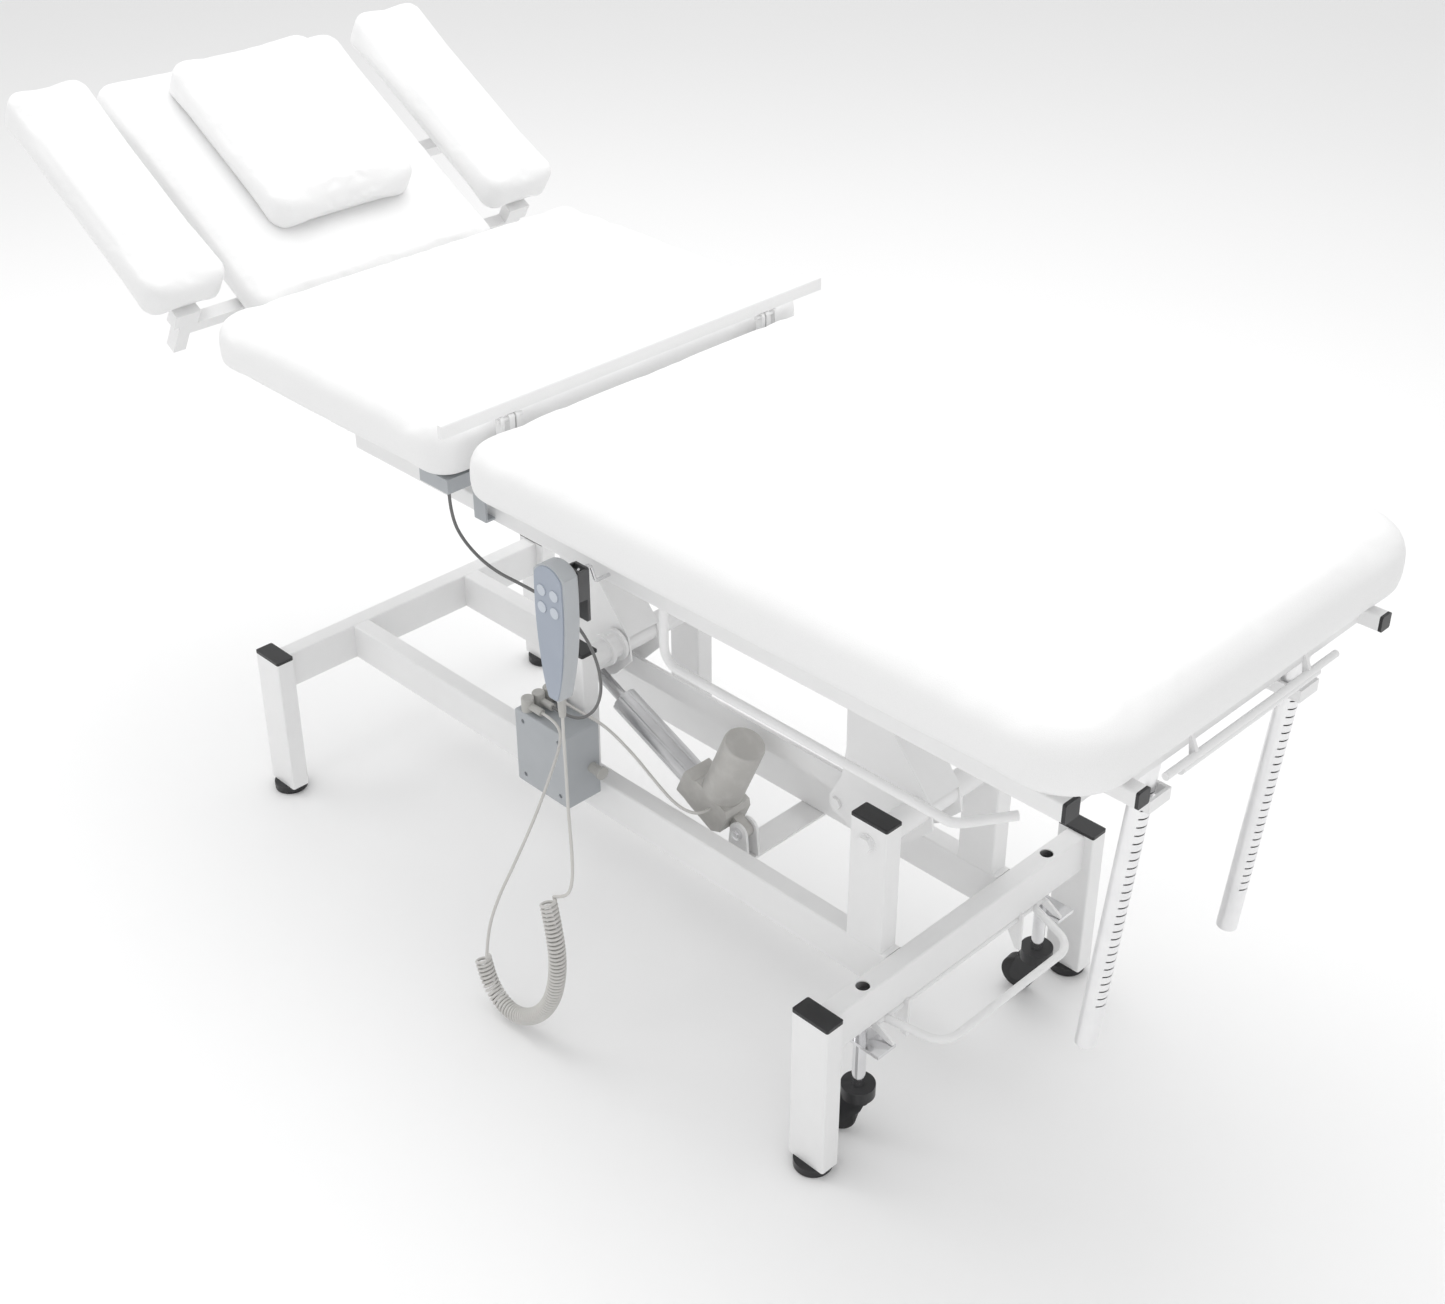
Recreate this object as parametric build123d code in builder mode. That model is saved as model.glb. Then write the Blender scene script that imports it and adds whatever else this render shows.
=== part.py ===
"""Two-motor treatment bed: a fixed base, a parallelogram lift, a back section, a head section,
a long leg section on two notched props, a hanging handset and a retractable caster set.
+X points to the foot end, -Y to the side that carries the handset, +Z up, floor at z = 0."""
import os
from math import cos, hypot, pi, radians, sin, tan

from build123d import *

os.makedirs("parts", exist_ok=True)


def save(piece, name):
    """Label a finished piece and write its STEP file."""
    piece.part.label = name
    export_step(piece.part, f"parts/{name}.step")


# ---------------------------------------------------------------- driving dimensions (mm)
base_x = 17.0  # middle of the base, so that the whole bed is centred on the origin
base_length = 1220.0
base_width = 570.0
tube_long = 60.0  # base tubes are 60 x 30
tube_short = 30.0
tube_wall = 2.0
base_top = 250.0
foot_height = 13.0
foot_radius = 26.0
stud_radius = 5.0
cap_height = 5.0
cap_plug = 8.0
cap_gap = 0.2
rail_y = 113.0
post_top = 440.0
pivot_z = 412.0
foot_pivot_x = base_x + 528.0
head_pivot_x = base_x - 34.0
axle_radius = 8.0
torque_radius = 18.0
running_gap = 0.05
open_gap = 0.5  # clearance of a linkage pivot that is left open

# lift arms, given from the axis of their torque tube
arm_rise = (-250.0, 288.0)
link_bolt = (-138.0, -62.0)
arm_half_width = 30.0
web_short = 94.0  # the web stops this far below the top pivot, clear of the frame's bars
sheet = 3.0
arm_lobe = 26.0
link_thickness = 6.0
link_height = 34.0
link_y = 10.0
link_bolt_radius = 5.0

# lift frame and sections
frame_y = 225.0
frame_tube = 25.0
frame_z = 700.5
frame_foot_end = base_x + 882.0
cheek = 5.0
section_y = 235.0
section_tube = 20.0
section_z = 767.0
board_z = section_z + section_tube / 2.0 + 0.5
bed_top = 860.0
bed_half_width = 342.0
hinge_x = base_x - 2.5
hinge_z = 850.0
hinge_pin_radius = 3.0
back_end = base_x - 10.0
back_length = 537.0
leg_start = base_x + 5.0
leg_length = 965.0
edge_round = 34.0

# head section
head_slope = 31.0
head_corner = (base_x - 558.0, 820.0)
head_length = 490.0
head_half_width = 225.0
head_thick = 56.0
head_hinge_along = 40.0
head_hinge_below = 76.0
pad_inner = 240.0
pad_width = 135.0
pad_length = 420.0
pad_thick = 62.0
pad_along = 62.0
pad_above = 32.0
pillow_width = 262.0
pillow_length = 330.0
pillow_thick = 58.0
pillow_along = 118.0

# actuators
lift_y = -48.0
lift_clevis = (base_x + 236.0, 231.0)
lift_lever = (-44.0, -47.0)
tube_radius = 20.0
rod_radius = 9.0
motor_radius = 30.0

# control box
box_size = (111.0, 60.0, 123.0)
box_x = base_x - 30.0
box_bottom = 227.0

# handset
handset_x = base_x + 172.0
handset_y = -313.0
handset_top = 744.0
handset_length = 195.0
handset_width = 56.0

# casters and pedal
stem_y = 188.0
stem_radius = 9.0
caster_wheel_radius = 25.0
caster_gap = 4.0  # wheel above the floor while the feet carry the bed
caster_trail = 24.0
pedal_shaft_x = base_x + 590.0
pedal_shaft_z = 183.0

leg_x = base_length / 2.0 - tube_long / 2.0
leg_y = base_width / 2.0 - tube_short / 2.0
crossbar_x = leg_x + 1.0
crossbar_length = 2.0 * (leg_y - tube_short / 2.0)
rail_length = 2.0 * (crossbar_x - tube_short / 2.0)
tube_mid_z = base_top - tube_long / 2.0
post_xs = (head_pivot_x, foot_pivot_x)
post_side = rail_y + tube_short / 2.0


def tube_profile(width, height, wall, corner=3.0):
    """Rounded box-tube section in the sketch that is open."""
    RectangleRounded(width, height, corner)
    RectangleRounded(width - 2 * wall, height - 2 * wall, corner - 1.0, mode=Mode.SUBTRACT)


# ---------------------------------------------------------------- base
with BuildPart() as base_legs:
    with BuildSketch(Plane.XY.offset(foot_height)):
        with Locations((base_x, 0)):
            with GridLocations(2 * leg_x, 2 * leg_y, 2, 2):
                tube_profile(tube_long, tube_short, tube_wall)
    extrude(amount=base_top - foot_height)
save(base_legs, "base_legs")

with BuildPart() as tube_caps:
    for plane_z, spots in (
        (base_top, [(base_x + sx * leg_x, sy * leg_y) for sx in (-1, 1) for sy in (-1, 1)]),
        (post_top, [(x, sy * rail_y) for x in post_xs for sy in (-1, 1)]),
    ):
        with BuildSketch(Plane.XY.offset(plane_z)):
            with Locations(*spots):
                RectangleRounded(tube_long, tube_short, 3.0)
        extrude(amount=cap_height)
        with BuildSketch(Plane.XY.offset(plane_z)):
            with Locations(*spots):
                RectangleRounded(
                    tube_long - 2 * (tube_wall + cap_gap),
                    tube_short - 2 * (tube_wall + cap_gap),
                    1.5,
                )
        extrude(amount=-cap_plug)
    fillet(tube_caps.edges().group_by(Axis.Z)[-1], 2.0)
save(tube_caps, "tube_caps")

with BuildPart() as levelling_feet:
    with Locations((base_x, 0, 0)):
        with GridLocations(2 * leg_x, 2 * leg_y, 2, 2):
            Cylinder(foot_radius, foot_height, align=(Align.CENTER, Align.CENTER, Align.MIN))
            Cylinder(stud_radius, 45.0, align=(Align.CENTER, Align.CENTER, Align.MIN))
    fillet(levelling_feet.edges().filter_by(GeomType.CIRCLE).group_by(Axis.Z)[0], 2.0)
save(levelling_feet, "levelling_feet")

for name, side in (("base_crossbar_head", -1), ("base_crossbar_foot", 1)):
    with BuildPart() as crossbar:
        bar_x = base_x + side * crossbar_x
        with BuildSketch(Plane.XZ.offset(-crossbar_length / 2.0)):
            with Locations((bar_x, tube_mid_z)):
                tube_profile(tube_short, tube_long, tube_wall)
        extrude(amount=crossbar_length)
        if side > 0:
            with Locations((bar_x, -stem_y, tube_mid_z), (bar_x, stem_y, tube_mid_z)):
                Cylinder(stem_radius + 0.5, tube_long + 2.0, mode=Mode.SUBTRACT)
    save(crossbar, name)

with BuildPart() as base_rails:
    with BuildSketch(Plane.YZ.offset(base_x - rail_length / 2.0)):
        with Locations((-rail_y, tube_mid_z), (rail_y, tube_mid_z)):
            tube_profile(tube_short, tube_long, tube_wall)
    extrude(amount=rail_length)
save(base_rails, "base_rails")

with BuildPart() as pivot_posts:
    with BuildSketch(Plane.XY.offset(base_top)):
        with Locations(*[(x, sy * rail_y) for x in post_xs for sy in (-1, 1)]):
            tube_profile(tube_long, tube_short, tube_wall)
    extrude(amount=post_top - base_top)
    with Locations(*[Location((x, 0, pivot_z), (90, 0, 0)) for x in post_xs]):
        Cylinder(axle_radius, 2 * post_side + 2.0, mode=Mode.SUBTRACT)
save(pivot_posts, "pivot_posts")

head_flat = 24.0
head_thickness = 7.0
with BuildPart() as pivot_axles:
    for x in post_xs:
        with BuildSketch(Plane.XZ.offset(-post_side)):
            with Locations((x, pivot_z)):
                Circle(axle_radius)
        extrude(amount=2 * post_side)
        for side in (-1, 1):
            with BuildSketch(Plane.XZ.offset(-side * post_side)):
                with Locations((x, pivot_z)):
                    Circle(head_flat / 2.0 + 1.0)
            extrude(amount=-side * 1.5)
            with BuildSketch(Plane.XZ.offset(-side * (post_side + 1.5))):
                with Locations((x, pivot_z)):
                    RegularPolygon(head_flat / 2.0 - 2.0, 6, major_radius=False)
            extrude(amount=-side * head_thickness)
save(pivot_axles, "pivot_axles")

# ---------------------------------------------------------------- lift actuator mount
plate_half = 22.0
ear_gap = 17.0
ear_thick = 4.0
ear_radius = 16.0
clevis_pin_radius = 5.0
plate_z = base_top - tube_long
with BuildPart() as actuator_mount:
    with BuildSketch(Plane.XY.offset(plate_z)):
        with Locations((lift_clevis[0] - 4.0, 0)):
            Rectangle(2 * plate_half, 2 * (rail_y - tube_short / 2.0) + 20.0)
    extrude(amount=-4.0)
    for side in (-1, 1):
        ear_face = lift_y + side * ear_gap / 2.0
        with BuildSketch(Plane.XZ.offset(-ear_face)):
            with BuildLine():
                Line((lift_clevis[0] - 20.0, plate_z), (lift_clevis[0] + 20.0, plate_z))
                Line((lift_clevis[0] + 20.0, plate_z), (lift_clevis[0] + ear_radius, lift_clevis[1]))
                ThreePointArc(
                    (lift_clevis[0] + ear_radius, lift_clevis[1]),
                    (lift_clevis[0], lift_clevis[1] + ear_radius),
                    (lift_clevis[0] - ear_radius, lift_clevis[1]),
                )
                Line((lift_clevis[0] - ear_radius, lift_clevis[1]), (lift_clevis[0] - 20.0, plate_z))
            make_face()
        extrude(amount=-side * ear_thick)
    with Locations(Location((lift_clevis[0], lift_y, lift_clevis[1]), (90, 0, 0))):
        Cylinder(clevis_pin_radius, 60.0, mode=Mode.SUBTRACT)
save(actuator_mount, "actuator_mount")

pin_half = ear_gap / 2.0 + ear_thick + 6.0
with BuildPart() as clevis_pin:
    with BuildSketch(Plane.XZ.offset(-(lift_y - pin_half))):
        with Locations(lift_clevis):
            Circle(clevis_pin_radius)
    extrude(amount=-2 * pin_half)
    with BuildSketch(Plane.XZ.offset(-(lift_y - pin_half + 6.0))):
        with Locations(lift_clevis):
            Circle(9.0)
    extrude(amount=5.0)
save(clevis_pin, "clevis_pin")

# ---------------------------------------------------------------- control box
box_wall = 3.0
cover_thick = 6.0
box_back_y = -post_side
box_front_y = box_back_y - box_size[1]
box_mid_z = box_bottom + box_size[2] / 2.0
screw_dx = 38.0
screw_dz = 46.0
with BuildPart() as control_box:
    with BuildSketch(Plane.XZ.offset(-box_back_y)):
        with Locations((box_x, box_mid_z)):
            RectangleRounded(box_size[0], box_size[2], 4.0)
    extrude(amount=box_size[1] - cover_thick)
    with BuildSketch(Plane.XZ.offset(-box_back_y + box_wall)):
        with Locations((box_x, box_mid_z)):
            Rectangle(box_size[0] - 2 * box_wall, box_size[2] - 2 * box_wall)
    extrude(amount=box_size[1] - cover_thick - box_wall, mode=Mode.SUBTRACT)
save(control_box, "control_box")

with BuildPart() as control_box_cover:
    with BuildSketch(Plane.XZ.offset(-box_front_y - cover_thick)):
        with Locations((box_x, box_mid_z)):
            RectangleRounded(box_size[0], box_size[2], 4.0)
    extrude(amount=cover_thick)
    fillet(control_box_cover.faces().sort_by(Axis.Y)[0].edges(), 2.0)
    with BuildSketch(Plane.XZ.offset(-box_front_y)):
        with Locations((box_x, box_mid_z)):
            with GridLocations(2 * screw_dx, 2 * screw_dz, 2, 2):
                Circle(3.6)
    extrude(amount=-3.0, mode=Mode.SUBTRACT)
save(control_box_cover, "control_box_cover")

gland_y = -143.0
gland_z = 280.0
gland_length = 24.0
box_side_x = box_x + box_size[0] / 2.0
box_top = box_bottom + box_size[2]
plug_x = base_x - 67.0
plug_radius = 9.5
plug_height = 22.0
plug_arm_z = box_top + 9.0
plug_arm_radius = 5.5
plug_reach = 31.0
plug_ys = (-178.0, -158.0, -138.0)
with BuildPart() as cord_plugs:
    with BuildSketch(Plane.XY.offset(box_top)):
        with Locations(*[(plug_x, y) for y in plug_ys]):
            Circle(plug_radius)
    extrude(amount=plug_height)
    fillet(cord_plugs.edges().group_by(Axis.Z)[-1], 2.5)
    with BuildSketch(Plane.YZ.offset(plug_x)):
        with Locations(*[(y, plug_arm_z) for y in plug_ys]):
            Circle(plug_arm_radius)
    extrude(amount=plug_reach)
    with BuildSketch(Plane.YZ.offset(box_side_x)):
        with Locations((gland_y, gland_z)):
            Circle(7.5)
    extrude(amount=gland_length)
    with BuildSketch(Plane.YZ.offset(box_side_x + gland_length - 4.0)):
        with Locations((gland_y, gland_z)):
            Circle(10.0)
    extrude(amount=4.0)
save(cord_plugs, "cord_plugs")

# ---------------------------------------------------------------- lift arms
slope_length = hypot(*arm_rise)
along = (arm_rise[0] / slope_length, arm_rise[1] / slope_length)
across = (along[1], -along[0])  # points to the foot side


def arm_outline(x0, y):
    """Side plate of a lift arm in the plane at y, drawn about its torque tube at x0."""
    front = 24.0
    top_front = (arm_rise[0] + across[0] * arm_lobe, arm_rise[1] + across[1] * arm_lobe)
    top_back = (arm_rise[0] - across[0] * arm_lobe, arm_rise[1] - across[1] * arm_lobe)
    tip = (arm_rise[0] + along[0] * arm_lobe, arm_rise[1] + along[1] * arm_lobe)
    foot_front = (across[0] * front, across[1] * front)
    lower_edge = [
        (-126.0, 100.0),
        (-125.0, 33.0),
        (-132.0, -17.0),
        (link_bolt[0] - 14.0, link_bolt[1] + 6.0),
        (link_bolt[0] - 6.0, link_bolt[1] - 16.0),
        (-109.0, -91.0),
        (-66.0, -94.0),
        (-10.0, -58.0),
        (24.0, -22.0),
    ]
    corners = [(x0 + x, pivot_z + z) for x, z in [top_back, *lower_edge, foot_front]]
    with BuildSketch(Plane.XZ.offset(-y)) as outline:
        with BuildLine():
            Polyline(*corners)
            Line(corners[-1], (x0 + top_front[0], pivot_z + top_front[1]))
            ThreePointArc(
                (x0 + top_front[0], pivot_z + top_front[1]),
                (x0 + tip[0], pivot_z + tip[1]),
                corners[0],
            )
        make_face()
    return outline.sketch


def lever_outline(x0, y):
    """Lever plate that hangs from the torque tube to the pin of the lift actuator."""
    reach = hypot(*lift_lever)
    side = (lift_lever[1] / reach, -lift_lever[0] / reach)
    hub = torque_radius + 6.0
    eye = 13.0
    pin_x = x0 + lift_lever[0]
    pin_z = pivot_z + lift_lever[1]
    with BuildSketch(Plane.XZ.offset(-y)) as outline:
        with Locations((x0, pivot_z)):
            Circle(hub)
        with Locations((pin_x, pin_z)):
            Circle(eye)
        with BuildLine():
            Polyline(
                (x0 + side[0] * hub, pivot_z + side[1] * hub),
                (x0 - side[0] * hub, pivot_z - side[1] * hub),
                (pin_x - side[0] * eye, pin_z - side[1] * eye),
                (pin_x + side[0] * eye, pin_z + side[1] * eye),
                close=True,
            )
        make_face()
    return outline.sketch


lever_ys = (-34.0, -57.0)


def lift_arm(name, x0, bore):
    """Folded-sheet arm with its torque tube, its link bolt and, at the head end, a lever."""
    with BuildPart() as arm:
        for side in (-1, 1):
            outer = side * arm_half_width
            extrude(arm_outline(x0, outer), amount=side * sheet)
        web_plane = Plane(
            origin=(x0 + across[0] * 24.0, 0, pivot_z + across[1] * 24.0),
            x_dir=(0, 1, 0),
            z_dir=(across[0], 0, across[1]),
        )
        with BuildSketch(web_plane):
            with Locations((0, 0)):
                Rectangle(2 * arm_half_width, slope_length - web_short, align=(Align.CENTER, Align.MIN))
        extrude(amount=-sheet)
        with BuildSketch(Plane.XZ.offset(-(post_side - tube_short - 2.0))):
            with Locations((x0, pivot_z)):
                Circle(torque_radius)
        extrude(amount=2 * (post_side - tube_short - 2.0))
        if x0 == head_pivot_x:
            for outer in lever_ys:
                extrude(lever_outline(x0, outer), amount=cheek)
            with BuildSketch(Plane.XZ.offset(32.0)):
                with Locations((x0 + lift_lever[0], pivot_z + lift_lever[1])):
                    Circle(clevis_pin_radius)
            extrude(amount=32.0)
        top = Location((x0 + arm_rise[0], 0, pivot_z + arm_rise[1]), (90, 0, 0))
        with Locations(Location((x0, 0, pivot_z), (90, 0, 0))):
            Cylinder(axle_radius + running_gap, 400.0, mode=Mode.SUBTRACT)
        with Locations(top):
            Cylinder(bore, 200.0, mode=Mode.SUBTRACT)
        bolt = (x0 + link_bolt[0], pivot_z + link_bolt[1])
        with BuildSketch(Plane.XZ.offset(-arm_half_width)):
            with Locations(bolt):
                Circle(link_bolt_radius)
        extrude(amount=2 * arm_half_width)
        for side in (-1, 1):
            with BuildSketch(Plane.XZ.offset(-side * arm_half_width)):
                with Locations(bolt):
                    RegularPolygon(8.0, 6, major_radius=False)
            extrude(amount=-side * 5.0)
    save(arm, name)


lift_arm("lift_arm_head", head_pivot_x, axle_radius + running_gap)
lift_arm("lift_arm_foot", foot_pivot_x, axle_radius + open_gap)

with BuildPart() as link_bar:
    ends = [(x + link_bolt[0], pivot_z + link_bolt[1]) for x in (head_pivot_x, foot_pivot_x)]
    with BuildSketch(Plane.XZ.offset(-link_y - link_thickness / 2.0)):
        with Locations(((ends[0][0] + ends[1][0]) / 2.0, ends[0][1])):
            SlotOverall(ends[1][0] - ends[0][0] + link_height, link_height)
        with Locations(ends[0]):
            Circle(link_bolt_radius + running_gap, mode=Mode.SUBTRACT)
        with Locations(ends[1]):
            Circle(link_bolt_radius + open_gap, mode=Mode.SUBTRACT)
    extrude(amount=link_thickness)
save(link_bar, "link_bar")

# ---------------------------------------------------------------- lift actuator
lift_pin = (head_pivot_x + lift_lever[0], pivot_z + lift_lever[1])
lift_reach = hypot(lift_pin[0] - lift_clevis[0], lift_pin[1] - lift_clevis[1])


def actuator_plane(start, end, y):
    """Plane in which an actuator lies: X along its rod, Y up, Z across."""
    reach = hypot(end[0] - start[0], end[1] - start[1])
    return Plane(
        origin=(start[0], y, start[1]),
        x_dir=((end[0] - start[0]) / reach, 0, (end[1] - start[1]) / reach),
        z_dir=(0, 1, 0),
    )


eye_radius = 11.0
eye_half = 7.5
gear_half = 24.0
gear_end = 112.0
rod_clearance = 1.0
rod_bore_depth = 32.0
tube_end = 265.0
motor_along = 57.0
motor_height = 108.0
lift_plane = actuator_plane(lift_clevis, lift_pin, lift_y)
with BuildPart() as lift_gearbox:
    with BuildSketch(lift_plane.offset(-eye_half)):
        Circle(eye_radius)
        with Locations((14.0, 0)):
            Rectangle(28.0, 2 * eye_radius)
    extrude(amount=2 * eye_half)
    with BuildSketch(lift_plane.offset(-gear_half)) as gear_outline:
        with BuildLine():
            Polyline(
                (20, -14),
                (34, -27),
                (82, -24),
                (96, -22),
                (gear_end, -22),
                (gear_end, 22),
                (92, 22),
                (88, 27),
                (26, 27),
                (20, 18),
                close=True,
            )
        make_face()
        fillet(gear_outline.vertices(), 2.0)
    extrude(amount=2 * gear_half)
    with BuildSketch(lift_plane.offset(-40)):
        Circle(clevis_pin_radius + running_gap)
    extrude(amount=80, mode=Mode.SUBTRACT)
    with Locations(lift_plane * Location((gear_end, 0, 0), (0, 90, 0))):
        Cylinder(rod_radius + rod_clearance, 2 * rod_bore_depth, mode=Mode.SUBTRACT)
save(lift_gearbox, "lift_gearbox")

motor_plane = Plane(
    origin=lift_plane.from_local_coords((motor_along, 27.0, 0)),
    x_dir=lift_plane.z_dir,
    z_dir=lift_plane.y_dir,
)
with BuildPart() as lift_motor:
    with BuildSketch(motor_plane):
        Circle(motor_radius)
    extrude(amount=motor_height)
    fillet(lift_motor.faces().sort_by(Axis.Z)[-1].edges(), 4.0)
save(lift_motor, "lift_motor")

with BuildPart() as lift_tube:
    tube_plane = Plane(
        origin=lift_plane.from_local_coords((gear_end, 0, 0)),
        x_dir=lift_plane.z_dir,
        z_dir=lift_plane.x_dir,
    )
    with BuildSketch(tube_plane):
        Circle(tube_radius)
        with PolarLocations(tube_radius + 1.0, 8):
            Circle(2.5, mode=Mode.SUBTRACT)
        Circle(rod_radius + rod_clearance, mode=Mode.SUBTRACT)
    extrude(amount=tube_end - gear_end)
save(lift_tube, "lift_tube")

yoke_half = 7.0
slot_clear = 0.5
with BuildPart() as lift_rod:
    rod_start = gear_end + 20.0
    with BuildSketch(tube_plane.offset(rod_start - gear_end)):
        Circle(rod_radius)
    extrude(amount=lift_reach - rod_start - 8.0)
    with BuildSketch(lift_plane.offset(-yoke_half)):
        with Locations((lift_reach, -2.0)):
            RectangleRounded(28.0, 34.0, 10.0)
    extrude(amount=2 * yoke_half)
    with BuildSketch(lift_plane.offset(-yoke_half)):
        with Locations((lift_reach, -2.0)):
            SlotOverall(22.0, 2 * (clevis_pin_radius + slot_clear), rotation=90)
    extrude(amount=2 * yoke_half, mode=Mode.SUBTRACT)
save(lift_rod, "lift_rod")

# ---------------------------------------------------------------- lift frame
frame_half = frame_tube / 2.0
frame_wall = 1.8
frame_top = frame_z + frame_half
rail_inner = frame_y - frame_half
head_top_x = head_pivot_x + arm_rise[0]
foot_top_x = foot_pivot_x + arm_rise[0]
arm_top_z = pivot_z + arm_rise[1]
bar_setback = 45.0
frame_head_end = head_top_x - bar_setback - frame_half
back_base = (base_x + 330.0, 612.0)
back_y = 66.0
back_bar_x = back_base[0] + 16.0
arm_room = 6.0
strut_y = arm_half_width + arm_room + frame_half  # short bars beside the lowered foot arm
end_bar_x = frame_foot_end - frame_half - cap_height - 6.0
prop_y = 146.0
prop_radius = 13.0
prop_top = (base_x + 916.0, 742.0)
prop_lean = 4.7
guide_z = frame_z
guide_x = prop_top[0] - (prop_top[1] - guide_z) * tan(radians(prop_lean))
ear_half = 6.0
ear_y = 232.0
ear_width = 8.0
with BuildPart() as lift_frame:
    with BuildSketch(Plane.YZ.offset(frame_head_end)):
        with Locations((-frame_y, frame_z), (frame_y, frame_z)):
            tube_profile(frame_tube, frame_tube, frame_wall, 2.5)
    extrude(amount=frame_foot_end - cap_height - frame_head_end)
    with BuildSketch(Plane.XZ.offset(-rail_inner)):
        bars = [head_top_x - bar_setback, foot_top_x - bar_setback, end_bar_x]
        with Locations(*[(x, frame_z) for x in bars]):
            tube_profile(frame_tube, frame_tube, frame_wall, 2.5)
    extrude(amount=2 * rail_inner)
    with BuildSketch(Plane.XZ.offset(-rail_inner)):
        with Locations((back_bar_x, frame_z)):
            tube_profile(frame_tube, frame_tube, frame_wall, 2.5)
    extrude(amount=rail_inner - strut_y + frame_half)
    with BuildSketch(Plane.YZ.offset(foot_top_x - bar_setback)):
        with Locations((strut_y, frame_z)):
            tube_profile(frame_tube, frame_tube, frame_wall, 2.5)
    extrude(amount=back_bar_x + frame_half - foot_top_x + bar_setback)
    for top_x in (head_top_x, foot_top_x):
        for side in (-1, 1):
            with BuildSketch(Plane.XZ.offset(-side * (arm_half_width + cheek / 2 + 5.5))):
                with Locations((top_x, arm_top_z)):
                    Circle(13.0)
                with Locations((top_x - bar_setback / 2 + 6.0, arm_top_z)):
                    Rectangle(bar_setback - frame_half + 12.0, frame_tube)
            extrude(amount=cheek / 2, both=True)
        with BuildSketch(Plane.XZ.offset(-(arm_half_width + 9.0))):
            with Locations((top_x, arm_top_z)):
                Circle(axle_radius)
        extrude(amount=2 * (arm_half_width + 9.0))
    for side in (-1, 1):
        with BuildSketch(Plane.XZ.offset(-(back_y + side * 12.0))):
            with BuildLine():
                Polyline(
                    (back_bar_x - frame_half, frame_z - frame_half),
                    (back_base[0] - 12.0, back_base[1]),
                    (back_base[0], back_base[1] - 12.0),
                    (back_base[0] + 12.0, back_base[1]),
                    (back_bar_x + frame_half, frame_z - frame_half),
                    close=True,
                )
            make_face()
        extrude(amount=2.0, both=True)
        ear_mid = side * ear_y
        with BuildSketch(Plane.XZ.offset(-ear_mid)):
            with Locations((hinge_x, (frame_top + hinge_z) / 2.0)):
                Rectangle(2 * ear_half, hinge_z - frame_top + 4.0)
            with Locations((hinge_x, hinge_z)):
                Circle(ear_half)
        extrude(amount=ear_width / 2, both=True)
        with BuildSketch(Plane.XZ.offset(-ear_mid)):
            with Locations((hinge_x, hinge_z)):
                Circle(hinge_pin_radius)
        extrude(amount=20.0, both=True)
        with BuildSketch(Plane.XY.offset(guide_z - 8.0)):
            with Locations((guide_x, side * prop_y)):
                Rectangle(46.0, 2 * prop_radius + 12.0)
            with Locations(((guide_x + end_bar_x) / 2, side * prop_y)):
                Rectangle(guide_x - end_bar_x - 23.0, 18.0)
            with Locations((guide_x, side * prop_y)):
                Rectangle(38.0, 2 * prop_radius + 4.0, mode=Mode.SUBTRACT)
        extrude(amount=16.0)
    with BuildSketch(Plane.XZ.offset(-(back_y + 16.0))):
        with Locations(back_base):
            Circle(clevis_pin_radius)
    extrude(amount=32.0)
save(lift_frame, "lift_frame")

with BuildPart() as lift_frame_caps:
    with BuildSketch(Plane.YZ.offset(frame_foot_end - cap_height)):
        with Locations((-frame_y, frame_z), (frame_y, frame_z)):
            RectangleRounded(frame_tube, frame_tube, 2.5)
    extrude(amount=cap_height)
save(lift_frame_caps, "lift_frame_caps")

side_bar_radius = 6.0
bar_points = [
    (base_x + 268.0, -frame_y, frame_z - frame_half),
    (base_x + 268.0, -frame_y, 604.0),
    (base_x + 731.0, -frame_y, 602.0),
    (base_x + 771.0, -162.0, 602.0),
]
with BuildPart() as side_bar:
    with BuildLine():
        FilletPolyline(*bar_points, radius=24.0)
    with BuildSketch(Plane(bar_points[0], z_dir=Vector(*bar_points[1]) - Vector(*bar_points[0]))):
        Circle(side_bar_radius)
    sweep()
save(side_bar, "side_bar")

hook_radius = 2.5
hook_x = handset_x + 12.0
hook_top = 727.0
hook_tip_y = -291.0
hook_points = [
    (hook_x, -frame_y - frame_half, frame_z),
    (hook_x, -260.0, frame_z),
    (hook_x, -268.0, hook_top),
    (hook_x, hook_tip_y + 3.0, hook_top),
    (hook_x, hook_tip_y, hook_top - 17.0),
]
with BuildPart() as handset_hook:
    with BuildLine():
        FilletPolyline(*hook_points, radius=[6.0, 6.0, 4.0])
    with BuildSketch(Plane(hook_points[0], z_dir=(0, -1, 0))):
        Circle(hook_radius)
    sweep()
save(handset_hook, "handset_hook")

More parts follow.
